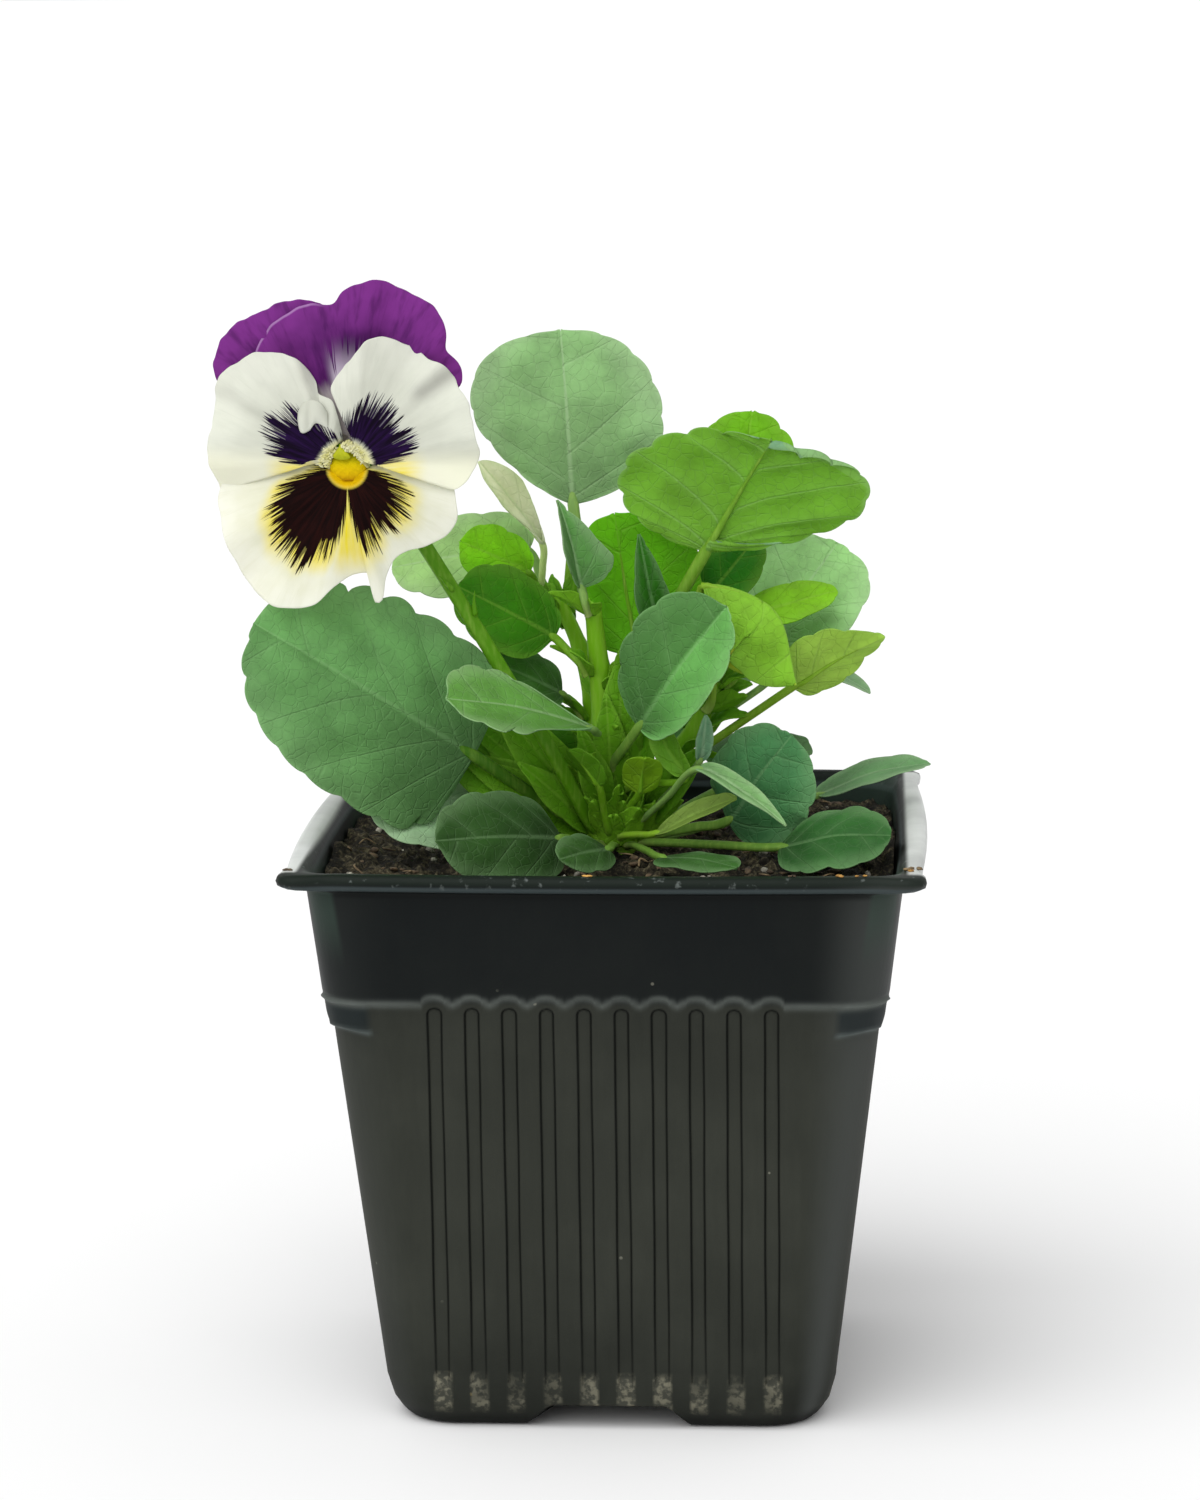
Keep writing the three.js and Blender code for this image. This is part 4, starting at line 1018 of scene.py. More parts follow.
def blade_material(tone, top, under):
    key = (tone, top, under)
    if key in BLADE_PAINTS:
        return BLADE_PAINTS[key]
    vein_tone, light_tone = TONES[tone]
    paint = Paint(f"leaf_{tone}_{len(BLADE_PAINTS)}")
    flat = paint.mark("flat", "Vector")
    rib, edge, along = paint.mark("rib"), paint.mark("edge"), paint.mark("along")
    below = paint.mark("under")
    low, high = leaf_color(top, 0.84, 1.16)
    blotch = paint.step(0.3, 0.7, paint.noise(0.16, 3, flat))
    fine = paint.noise(1.3, 3, flat)
    # The upper face is darkest by the neck and palest along the margin.
    neck_dark = paint.step(0.52, 0.0, along) * paint.step(1.0, 0.2, edge)
    neck_share = 0.85 if tone == "dark" else 0.5
    color = paint.coat(
        paint.mix(blotch, low, high), (paint.step(0.45, 0.8, fine) * 0.36, high),
        (neck_dark * neck_share, leaf_color(top, 0.42, 1)[0]),
        (paint.step(0.55, 1.0, edge) * 0.22, vein_tone),
        (below, paint.mix(blotch, *leaf_color(under, 0.85, 1.15))),
        # Painted shade on one side of the blade, or on both.
        (paint.mark("gloom"), leaf_color(top, 0.35, 1)[0]))
    phase = paint.math("FRACT", paint.mark("vein"))
    wobble = paint.noise(0.5, 2, flat) * 0.9 - 0.45
    from_vein = abs(phase - 0.5) * paint.mark("gap") + abs(wobble) * 0.25
    wide = 0.42 - edge * 0.26
    lateral = paint.step(wide, 0.0, from_vein)
    halo = paint.step(1.7, 0.0, from_vein)
    middle = paint.step(0.66 - along * 0.55, 0.1, rib)
    net = paint.step(0.07, 0.0, paint.cells(0.62, "DISTANCE_TO_EDGE", flat))
    vein_color = tuple(0.4 * a + 0.6 * b for a, b in zip(high, shade(vein_tone)))
    faint = fine * 0.8 + 0.4
    sunny = tone in ("bright", "yellow")
    strength = 0.4 if sunny else 0.3
    lateral_share = (below * 0.1 + strength) * faint
    middle_share = 0.34 if tone == "dark" else 0.48
    lines = paint.most(lateral * lateral_share, middle * (middle_share - below * 0.2))
    lines = paint.most(paint.most(lines, net * 0.1), halo * 0.09)
    color = paint.coat(color, (lines, vein_color), (paint.step(0.955, 1.0, edge) * 0.4, vein_color))
    rough = fine * 0.2 + 0.46
    normal = paint.bump(fine - lateral * 0.8 - net * 0.5, 0.18, 0.7)
    glow = paint.mix(0.5, color, paint.mix(0.8, color, light_tone, "MULTIPLY"))
    share = 0.36 if sunny else 0.26
    BLADE_PAINTS[key] = paint.finish(color, rough, normal, glow, share, specular=0.16)
    return BLADE_PAINTS[key]


def stalk_material(name, root, top):
    """Leaf stalks and stems, paler towards the root."""
    paint = Paint(name)
    streak = paint.noise(1500, 3, paint.drawn(0.12))
    mottle = paint.noise(260, 3)
    along = mottle * 0.35 + paint.mark("along") - 0.17
    color = paint.mix(paint.step(0.0, 0.55, along), root, top)
    color = paint.mix(paint.step(0.4, 0.75, streak) * 0.25, color, 0xb0d060)
    normal = paint.bump(streak + mottle, 0.08, 0.6)
    return paint.finish(color, mottle * 0.2 + 0.36, normal, color, 0.2, specular=0.15)


def bent_leaf(seat, neck, tip, width, face, belly, bow, cup, tone, top, under=None, **looks):
    return dict(seat=seat, neck=neck, tip=tip, width=width, face=face, belly=belly, bow=bow, cup=cup,
                tone=tone, top=top, under=under or top, looks=looks)


LEAVES = {
    "left_large": bent_leaf(
        ("crown", 208, 32), (-20.5, -11, 96.5), (-51, -24, 118), 34.5, (-0.3, -0.8, 0.5), 0.42, 2, -1,
        "dark", 0x75b065, 0x8dbb78, gloom=(0.35, 0.0), teeth=10, veins=6, wave=0.025, quilt=0.02,
        base_round=3.3, sides=(0.92, 0.84), lean=3.4, vein_bend=0.85, tooth_depth=0.028,
        stalk_tone="deep"),
    "left_low": bent_leaf(
        ("crown", 186, 16), (-20.5, -5, 88), (-36.5, -14, 93), 17, (0, -0.7, 0.7), 0.5, 1, -0.5,
        "glaucous", 0xaad3a1, sides=(1.2, 1.0), tip_round=2.5),
    "front_left_low": bent_leaf(
        ("crown", 248, 14), (-7, -21, 86), (-24, -34, 88), 15, (0.2, -0.9, 0.6), 0.5, 1, -0.5, "dark",
        0x2f5321, 0x5c8a44),
    "front_small": bent_leaf(
        ("crown", 270, 14), (0, -24, 85), (-6, -37, 86), 7, (0.2, -0.8, 0.6), 0.5, 0.5, -0.3, "dark",
        0x375e26, teeth=3, veins=4),
    "front_right_low": bent_leaf(
        ("crown", 291, 14), (8, -25, 84), (19, -35, 84.5), 8, (0, -0.2, 1), 0.5, 0.5, -0.3, "dark",
        0x3c682c, teeth=4, veins=4),
    "right_low": bent_leaf(
        ("crown", 314, 14), (25, -19, 84.5), (41, -23, 87), 14, (0, -0.6, 1), 0.5, 1, -0.5, "dark",
        0x366c31, 0x6c9a50),
    "right_rim": bent_leaf(
        ("crown", 22, 8), (30, 13, 86.5), (47, 16, 91), 9, (-0.1, -0.2, 1), 0.5, 1, 0.5, "glaucous",
        0x78aa70, teeth=4, veins=4),
    "right_round": bent_leaf(
        ("crown", 340, 20), (17, -9, 86.5), (26.5, -13, 100), 17.5, (-0.2, -1, 0.3), 0.5, 1, -0.6,
        "dark", 0x4b8852, 0x7fb070, quilt=0.02, tooth_depth=0.04, sides=(0.86, 1.08)),
    "right_pointed": bent_leaf(
        ("crown", 300, 35), (13, -19, 96), (26, -26, 89), 5, (0.2, -0.6, 0.8), 0.45, 1, 0.4,
        "glaucous", 0x7fb06c, teeth=0, tip_round=1.3, veins=4, left=(20, 25, 10), right=(25, 25, 10),
        sides=(0.75, 0.75)),
    "middle_right": bent_leaf(
        ("centre", 0.3, 285), (4, -12, 101), (17, -18, 119.5), 17, (-0.2, -0.9, 0.2), 0.48, 1.5, 1.2,
        "dark", 0x6cb058, 0x8fbe78, teeth=6, belly_left=0.54, tip_round=2.3, base_round=1.85,
        gloom=(0.68, 0.0), sides=(1.08, 0.92), left=(0, 8, 14), right=(8, 26, 44)),
    "right_folded": bent_leaf(
        ("right", 0.8, 280), (13.6, -8, 121.4), (27.2, -9, 106.9), 21, (0.6, -0.3, 0.7), 0.5, 5.6, -9,
        "yellow", 0x9cdc3e, 0xc8d840, sides=(1.75, 1.03), veins=6, left=(-58, -72, -80),
        right=(-55, -72, -80)),
    "right_outer": bent_leaf(
        ("right", 0.5, 330), (26.5, -2, 105.5), (40, -4, 113.5), 12, (-0.3, 0.7, 0.6), 0.38, 0.6, 0.4,
        "yellow", 0x6fa23a, 0xbbe65d, tooth_depth=0.05, sides=(0.9, 1.25), tip_round=1.5),
    "right_outer_small": bent_leaf(
        ("right", 0.97, 0), (20, 3, 115), (33, 5, 119), 7, (-0.2, -0.7, 0.6), 0.45, 0.6, 0.2, "bright",
        0x8fcf26, teeth=3, veins=4),
    "right_back": bent_leaf(
        ("right", 0.9, 60), (23, 9, 110), (33, 15, 125), 18, (-0.3, -0.8, 0.4), 0.5, 1, -0.4,
        "glaucous", 0xa2d688, teeth=6, sides=(1.1, 1.1), base_round=2.8, tip_round=2.4),
    "right_inner": bent_leaf(
        ("right", 0.97, 180), (13, 2, 117), (21, 6, 127), 9, (-0.2, -0.9, 0.2), 0.5, 0.6, 0.3,
        "bright", 0x2b7c10, teeth=4),
    "top_fan": bent_leaf(
        ("centre", 0.55, 340), (13.7, -5.3, 126.2), (23.6, -12, 143.3), 33.5, (0.15, 0.9, 0.35), 0.58,
        1.5, 0.6, "yellow", 0x86b88c, 0x78b433, stalk_tone="fan", teeth=9, veins=7, lean=4.5,
        shear=0.4, columns=26, base_round=2.2, vein_bend=0.75, tooth_depth=0.028,
        rolls=((-1, 0.68, 1.0, 1.3, 0.5, -1),)),
    "top_behind_fan": bent_leaf(
        ("right", 0.97, 90), (18, 12, 130), (20, 17, 144.7), 15, (0, -0.9, 0.3), 0.5, 0.6, 0.4,
        "bright", 0x79bf17),
    "top_pale": bent_leaf(
        ("centre", 0.6, 90), (-6.5, 5, 132), (-8.5, 10, 157.5), 28.5, (0.1, -0.95, 0.2), 0.42, 1, 0.5,
        "glaucous", 0x8cb878, 0xa0c78c, belly_left=0.58, teeth=8, base_round=1.6, tip_round=2.4,
        lean=3.2, tooth_depth=0.012),
    "centre_folded": bent_leaf(
        ("centre", 0.98, 250), (-4.6, -8, 121), (-7.8, -9, 134.2), 8.4, (0.5, -0.8, 0.3), 0.27, 0.5,
        1.5, "glaucous", 0x64a050, 0x76b22e, belly_left=0.5, teeth=3, veins=4, left=(30, 48, 35),
        right=(8, 18, 10), sides=(0.95, 1.4), base_round=1.5, tip_round=1.08, gloom=(0.5, 0.0)),
    "centre_bright": bent_leaf(
        ("centre", 0.6, 20), (3, -2, 110), (0, 0, 131), 12, (0, 0.9, 0.2), 0.55, 0.5, 0.6, "bright",
        0x4b8c14, 0x6cc410, teeth=4, sides=(1.9, 1.0), tip_round=2.6, base_round=3.6),
    "centre_inner": bent_leaf(
        ("centre", 0.66, 320), (6.5, -7.5, 113.5), (4, -8, 129), 5.6, (0.3, -0.9, 0.2), 0.4, 0.4, 0.8,
        "dark", 0x2a710b, teeth=3, veins=4, tip_round=1.3, gloom=(0.25, 0.25)),
    "left_bright": bent_leaf(
        ("left", 0.95, 200), (-13, 2, 122), (-23, 0, 127), 9, (0, -0.9, 0.4), 0.55, 0.5, 0.3, "bright",
        0x99ea1e, teeth=4),
    "left_middle": bent_leaf(
        ("centre", 0.72, 200), (-9, -3, 113), (-23, -6, 121), 13, (0.2, -0.9, 0.4), 0.55, 0.6, 0.3,
        "bright", 0x3f8b0b, teeth=4),
    "left_back": bent_leaf(
        ("left", 0.85, 130), (-14, 13, 124), (-35, 16, 121), 14, (0, -0.8, 0.6), 0.5, 1, 0.3,
        "glaucous", 0xadd887),
    "left_folded": bent_leaf(
        ("centre", 0.42, 262), (-3, -13, 101), (-23, -24, 107), 11, (0.2, -0.4, 0.9), 0.68, 1, 1.8,
        "glaucous", 0x679f47, 0x86b878, belly_left=0.64, teeth=6, tooth_depth=0.13, tooth_from=0.4,
        left=(0, 6, 16), right=(12, 24, 40), sides=(1.55, 1.15), base_round=1.3, tip_round=2.8),
    "left_shade": bent_leaf(
        ("left", 0.45, 200), (-8, 0, 104), (-20, -4, 110), 9, (0.1, -0.7, 0.7), 0.5, 0.6, 0.4, "dark",
        0x3e7424, teeth=4),
    "left_tall": bent_leaf(
        ("left", 0.98, 150), (-11, 4, 126), (-20, -1, 139), 6.5, (0.7, -0.5, 0.5), 0.6, 0.4, 0.8,
        "yellow", 0xfbffd6, 0xfdffdc, stalk_tone="pale", teeth=0, veins=3, base_round=1.2,
        tip_round=1.6, left=(0, 8, 10), right=(45, 60, 50)),
    "young_left": bent_leaf(
        ("crown", 262, 30), (-2, -11, 92), (-6, -14, 98), 5, (0.2, 0.6, 0.8), 0.5, 0.3, 0.6, "bright",
        0x5f9a1c, teeth=2, veins=3),
    "young_right": bent_leaf(
        ("crown", 283, 45), (4, -11, 91), (5, -15, 97), 6, (0, 0.7, 0.7), 0.5, 0.3, 0.6, "bright",
        0x86b820, teeth=2, veins=3),
    "young_blue": bent_leaf(
        ("crown", 322, 42), (13, -12, 96), (14, -14, 103), 3, (0.4, -0.8, 0.3), 0.5, 0.2, 0.5,
        "glaucous", 0x79ad84, teeth=0, veins=3, tip_round=1.5),
    "low_left_wing": bent_leaf(
        ("centre", 0.17, 200), (-4.6, -3.4, 92.4), (-12.7, -5.6, 101), 8, (0.1, -0.9, 0.3), 0.6, 0.4,
        0.6, "bright", 0x3f7d12, teeth=3, veins=4),
    "low_left_inner": bent_leaf(
        ("crown", 180, 42), (-8.5, -0.5, 89), (-20.2, -3, 98.5), 6, (0, -0.9, 0.4), 0.55, 0.4, 0.6,
        "bright", 0x5c9a22, teeth=3, veins=4),
    "low_right_wing": bent_leaf(
        ("centre", 0.16, 310), (10.8, -12.6, 93.5), (6, -9.6, 101.5), 4.5, (-0.2, -0.9, -0.1), 0.6,
        0.4, 0.6, "bright", 0x6aa626, teeth=2, veins=4),
    "low_right_inner": bent_leaf(
        ("crown", 279, 24), (6.5, -14.5, 85.6), (18.4, -19, 91.7), 4, (0, -0.6, 0.8), 0.6, 0.4, 0.8,
        "yellow", 0x82a046, teeth=2, veins=4),
    "right_far": bent_leaf(
        ("right", 0.7, 20), (27, 6, 108), (38, 6, 103.5), 5, (0, -0.3, 1), 0.5, 0.8, 0.3, "glaucous",
        0x8cb882, teeth=0, veins=4),
    "back_left": bent_leaf(
        ("crown", 150, 18), (-17, 19, 92), (-32, 31, 100), 19, (-0.2, 0.4, 0.9), 0.5, 1.5, -0.8,
        "dark", 0x4c8040, 0x7aa868, teeth=6, veins=6),
    "back_middle": bent_leaf(
        ("crown", 92, 30), (3, 20, 94), (6, 36, 104), 19, (0, -0.3, 1), 0.5, 1.5, -0.8, "dark",
        0x508a44, 0x7aa868, teeth=6, veins=6),
    "back_right": bent_leaf(
        ("crown", 55, 12), (17, 18, 88), (25, 32, 93), 16, (0, -0.2, 1), 0.5, 1.5, -0.6, "dark",
        0x4a7e3e, 0x7aa868, teeth=6),
    "back_high_right": bent_leaf(
        ("right", 0.6, 100), (13, 15, 103), (17, 30, 114), 16, (0, -0.5, 0.9), 0.5, 1, -0.5,
        "glaucous", 0x7fb070, 0x93bf80),
    "back_tall": bent_leaf(
        ("left", 0.9, 60), (-7, 15, 131), (-10, 25, 149), 14, (0, -0.8, 0.5), 0.5, 1, -0.5, "bright",
        0x6ca834, 0x86b84c, base_round=1.2, sides=(0.75, 0.75)),
    "back_high_left": bent_leaf(
        ("left", 0.4, 140), (-17, 18, 99), (-35, 25, 104), 15, (-0.2, -0.4, 0.9), 0.5, 1, -0.5, "dark",
        0x4f8a3c, 0x7aa868),
}


def leaf_curve(leaf):
    start, out = seat_on(*leaf["seat"])
    neck, tip = np.array(leaf["neck"], float), np.array(leaf["tip"], float)
    first = start + out * STALK_START
    if leaf["seat"][0] != "crown":
        ahead = Curve(BRANCHES[leaf["seat"][0]][0]).heading(leaf["seat"][1])
        first = start + out * 0.9 + ahead * STALK_START
    belly = (neck + tip) / 2 + unit(leaf["face"]) * leaf["bow"]
    return Curve([start, first, (first + neck) / 2, neck, belly, tip]), 0.6


def make_leaf(name, leaf, seed, stalks):
    shape = Shape()
    curve, blade_from = leaf_curve(leaf)
    width = leaf["width"]
    detail = dict(rows=int(36 + 2.2 * width), columns=int(9 + 0.5 * width), cup=leaf["cup"])
    detail.update(leaf["looks"])
    if leaf["looks"].get("teeth") == 0:
        detail["tooth_depth"] = 0
    blade = Blade(curve, blade_from, leaf["face"], width, leaf["belly"], seed, **detail)
    blade.add_to(shape)
    stops = np.concatenate([np.linspace(0, blade_from, 34)[:-1], np.linspace(blade_from, 0.97, 26)])
    stalk = STALK_LEAST + STALK_SHARE * width
    past = np.clip((stops - blade_from) / (1 - blade_from), 0, 1)
    radius = stalk * (1 - 0.86 * past**0.4)
    radius[0] *= 1.25
    drop = smooth(0, 0.12, past) * (radius * 0.9 + 0.12)
    shape.tube(curve, stops, radius, leaf["face"], 12, 0.3, drop, 1, along=stops / blade_from)
    tone = leaf["tone"]
    paints = [blade_material(tone, leaf["top"], leaf["under"]), stalks[blade.stalk_tone or tone]]
    shape.make(f"leaf_{name}_grown", paints, f"leaf_{name}")


def stipule(shape, foot, way, face, length, seed, wide=0.48):
    """A small lobed blade at the foot of a leaf stalk."""
    way, face = unit(way), unit(face)
    curve = Curve([foot, foot + way * length * 0.5 + face * 0.25 * length * 0.3, foot + way * length])
    Blade(curve, 0.0, face, length * wide, 0.42, seed, rows=30, columns=6, teeth=2, tooth_depth=0.07,
          veins=3, tip_round=1.5, base_round=1.6, wave=0.05, cup=0.5).add_to(shape, 1)


def stipules(shape, rng):
    """A pair of stipules at every leaf's foot, and young leaves in the heart of the plant."""
    for number, leaf in enumerate(LEAVES.values()):
        carrier = leaf["seat"][0]
        start, out = seat_on(*leaf["seat"])
        rise = np.array([0, 0, 1.0])
        if carrier != "crown":
            rise = Curve(BRANCHES[carrier][0]).heading(leaf["seat"][1])
        across = unit(np.cross(out, rise))
        for side in (-1, 1):
            way = out * rng.uniform(0.5, 0.9) + rise * rng.uniform(0.6, 1.1)
            way = way + across * side * rng.uniform(0.35, 0.8)
            foot = start - out * SEAT * 1.6 + across * side * 0.4
            length = rng.uniform(5, 8.5) * (1.2 if carrier == "crown" else 0.9)
            face = rise * 0.6 - out * 0.6 + across * side * 0.2
            stipule(shape, foot, way, face, length, 900 + 2 * number + side)
    for number in range(YOUNG_BLADES):
        angle = rng.uniform(*YOUNG_TURN)
        start, out = seat_on("crown", angle, rng.uniform(20, 75))
        across = unit(np.cross(out, (0, 0, 1)))
        way = out * rng.uniform(0.3, 0.8) + np.array([0, 0, rng.uniform(0.7, 1.3)])
        way = way + across * rng.uniform(-0.6, 0.6)
        face = np.array([0, 0, 0.5]) + out * rng.choice((-0.7, 0.9)) + across * rng.uniform(-0.3, 0.3)
        stipule(shape, start - out * SEAT * 1.6, way, face, rng.uniform(*YOUNG_LENGTH), 1100 + number,
                rng.uniform(0.34, 0.5))
    for number, (angle, slope, tip, width) in enumerate(LONG_BLADES):
        start, out = seat_on("crown", angle, slope)
        way = np.array(tip, float) - start
        far = float(np.linalg.norm(way))
        stipule(shape, start - out * SEAT * 1.6, way, (0.1, -1, 0.4), far, 1200 + number, width / far)


def make_crown(stalk):
    shape = Shape()
    stipules(shape, np.random.default_rng(3))
    way = ball(*CROWN_GRID)
    bumps = np.array([noise.noise(tuple(p * 2.1)) for p in way.reshape(-1, 3)]).reshape(CROWN_GRID)
    points = CROWN_CENTER + CROWN_RADII * way * (1 - 0.05 * np.abs(bumps))[..., None]
    shape.rings(points, along=np.full(bumps.size, 0.1))
    for name, (points, _) in BRANCHES.items():
        stops = np.linspace(0, 1, 50)
        knots = 1 + 0.1 * np.exp(-(((stops * 4.3 + 0.3) % 1 - 0.5) / 0.09) ** 2)
        end = np.sqrt(np.clip(1 - ((stops - 0.97) / 0.035) ** 2, 0.04, 1))
        radius = branch_radius(name, stops) * knots * np.where(stops > 0.97, end, 1) * 0.985
        shape.tube(Curve(points), stops, radius, (0, -1, 0), sides=20, along=0.2 + 0.6 * stops)
    shape.make("crown_grown", [stalk, blade_material("bright", 0x6cae1c, 0x80bc28)], "crown")


# ---------------------------------------------------------------- flower
FLOWER_CENTER = np.array([-36.9, -26, 140.7])
FLOWER_TILT = 86
FLOWER_SWING = -6
PETAL_ROWS = 64
PETAL_COLUMNS = 150
RECEPTACLE_RADIUS = 1.7
CLAW_HALF = 0.7
CLAW_OUT = 2.4
CLAW_BACK = -3.6
CLAW_BEND_OUT = 2.9
FLOWER_STALK = ((-8.4, -10.5, 96), (-17, -12, 111), (-27, -14, 128), (-33, -13.5, 137))
FLOWER_STALK_END = ((0, 1, -9), (0, 0, -5.8), (0, 0, -3.4))
FLOWER_STALK_RADIUS = 1.1
FLOWER_STALK_WIDENS = 0.9
SEPAL_LENGTH = 11
SEPAL_WIDTH = 4.4
SEPAL_START = 2.1
SEPAL_BACK = -5.6

# Petals in the flower's plane: the claw's angle, the throat with its height, heights at the
# margin, and the outline from one side of the throat round to the other. A fold is a dent from
# one point to another, with its depth, its width and the share of painted shade in it.
PETALS = {
    "upper_left": dict(
        angle=127, throat=(-1, 4, -3.2), rim=-5.5, cup=0.0, seed=5, ruffle=0.5,
        outline=(
            (-6, 6.6), (-19, 10.2), (-20.7, 13), (-20.6, 16), (-19.9, 18.1), (-17.6, 20.3),
            (-13.8, 22.3), (-9.9, 23.7), (-6.4, 23.9), (-3.6, 22), (-2.4, 18.5), (-1.9, 12))),
    "upper_right": dict(
        angle=70, throat=(0.4, 4.2, -2.2), rim=-3.2, cup=0.6, seed=6, ruffle=0.8,
        outline=(
            (-5, 8.2), (-9.5, 11.5), (-13.6, 14.3), (-14.4, 15.9), (-13.6, 18.3), (-10.6, 21.4),
            (-6.4, 23.4), (-3, 23.1), (-1.1, 25.3), (1.6, 26.4), (4.6, 26.6), (7.7, 25.4),
            (10.9, 23.9), (13, 21.7), (13.9, 19.7), (14, 16.9), (15.4, 14.9), (16, 12.4), (13, 9.5),
            (7, 6.5))),
    "side_left": dict(
        angle=180, throat=(-2.3, 1.7, 0.4), rim=-0.4, cup=0.6, seed=7, ruffle=1.1,
        fold=((-17.5, 10.5), (-11, 6), 0.3, 1.2, 0.12),
        outline=(
            (-0.6, 4), (-1.4, 7.5), (-2.4, 9.6), (-4.4, 10.7), (-4.9, 12.2), (-5.8, 13.6),
            (-8.1, 15.8), (-11.3, 16.5), (-13.6, 16.3), (-16.7, 14.7), (-18.9, 13.2), (-19.6, 7.2),
            (-20.1, 2), (-19.3, -2.1), (-18.7, -3.5), (-15.8, -0.8), (-10.6, 0.5), (-6, 1.1))),
    "side_right": dict(
        angle=15, throat=(2.2, 1.8, 0.8), rim=0.1, cup=0.7, seed=8, ruffle=1.2,
        fold=((16.5, 14.4), (9.4, 9.6), 0.6, 1.3, 0.6),
        outline=(
            (6, 0.2), (10.2, -1.1), (16.4, -2.8), (18.1, -0.8), (19.2, 2.7), (18.8, 5.5), (17.8, 9.3),
            (16.4, 11.7), (15.4, 13.4), (14, 14.9), (12.2, 15.2), (10.2, 16.6), (7.7, 18), (4.6, 18.6),
            (3.2, 18.3), (1.9, 16.9), (-0.2, 14.5), (-2.1, 11.4), (-1, 8.5), (0.6, 5))),
    "lower": dict(
        angle=270, throat=(0, -1.8, -0.6), rim=-1.3, cup=0.6, seed=9, ruffle=1.0,
        outline=(
            (-3.2, 0.2), (-7, 1.6), (-13, 1.2), (-17.6, -1), (-18.9, -4), (-18.7, -7), (-17.9, -11.1),
            (-15.9, -15), (-12.3, -19.4), (-9.3, -20.4), (-5.4, -19.9), (-1.6, -16.7), (0.7, -15.3),
            (2.7, -15.4), (3.3, -18.1), (3.9, -19.4), (4.7, -18.9), (5.3, -15), (6.7, -12.9),
            (11.1, -11.1), (14.3, -9.4), (15.9, -7), (16, -3.6), (14.6, -0.6), (10, 1.2), (6, 1.4),
            (3.2, 0.2))),
}
# How far the dark blotches reach from the flower's eye at angles round it.
BLOTCH_TURN = 360.0
BLOTCH_MOST = 20.0
SIDE_BLOTCH = (
    (0, 3), (3, 4), (7, 8.8), (12, 10.3), (20, 11.5), (27, 11.6), (37, 9.8), (42, 11), (55, 12),
    (63, 11.6), (70, 11.7), (75, 10), (82, 8.4), (90, 8), (98, 7.2), (103, 4.5), (108, 4.5), (112, 5.5),
    (120, 8), (129, 11.5), (140, 12.7), (150, 14), (160, 13), (168, 12), (176, 9.5), (179, 4), (360, 3),
)
LOWER_BLOTCH = (
    (0, 3), (180, 4.5), (187, 6.6), (195, 10), (204, 12.1), (211, 14.4), (218, 14.8), (226, 15.9),
    (237, 16.2), (244, 16.4), (248, 14.8), (257, 14.2), (262.5, 11.6), (267.5, 8.6), (269.8, 3.6),
    (271.4, 4.2), (273.5, 8.2), (279, 10.8), (283, 13.2), (291, 11.9), (301, 10.2), (311, 11.6),
    (322, 11.5), (332, 10.6), (345, 9.4), (349, 6.8), (356, 4.6), (360, 3),
)


def flower_matrix():
    swing = Matrix.Rotation(math.radians(FLOWER_SWING), 3, "Z")
    return np.array(swing @ Matrix.Rotation(math.radians(FLOWER_TILT), 3, "X"))


def from_flower(points):
    return np.asarray(points, float) @ flower_matrix().T + FLOWER_CENTER


def plane_curve(pairs):
    return Curve([(x, y, 0) for x, y in pairs])


def petal_faces(shape, grid, thick, **marks):
    """Adds a thin sheet round a grid of points of the flower."""
    normal = unit(np.cross(np.gradient(grid, axis=1), np.gradient(grid, axis=0)) + 1e-12)
    half = normal * np.sign(normal[..., 2:].mean() or 1) * thick / 2
    shape.sheet(from_flower(grid + half), from_flower(grid - half), **marks)


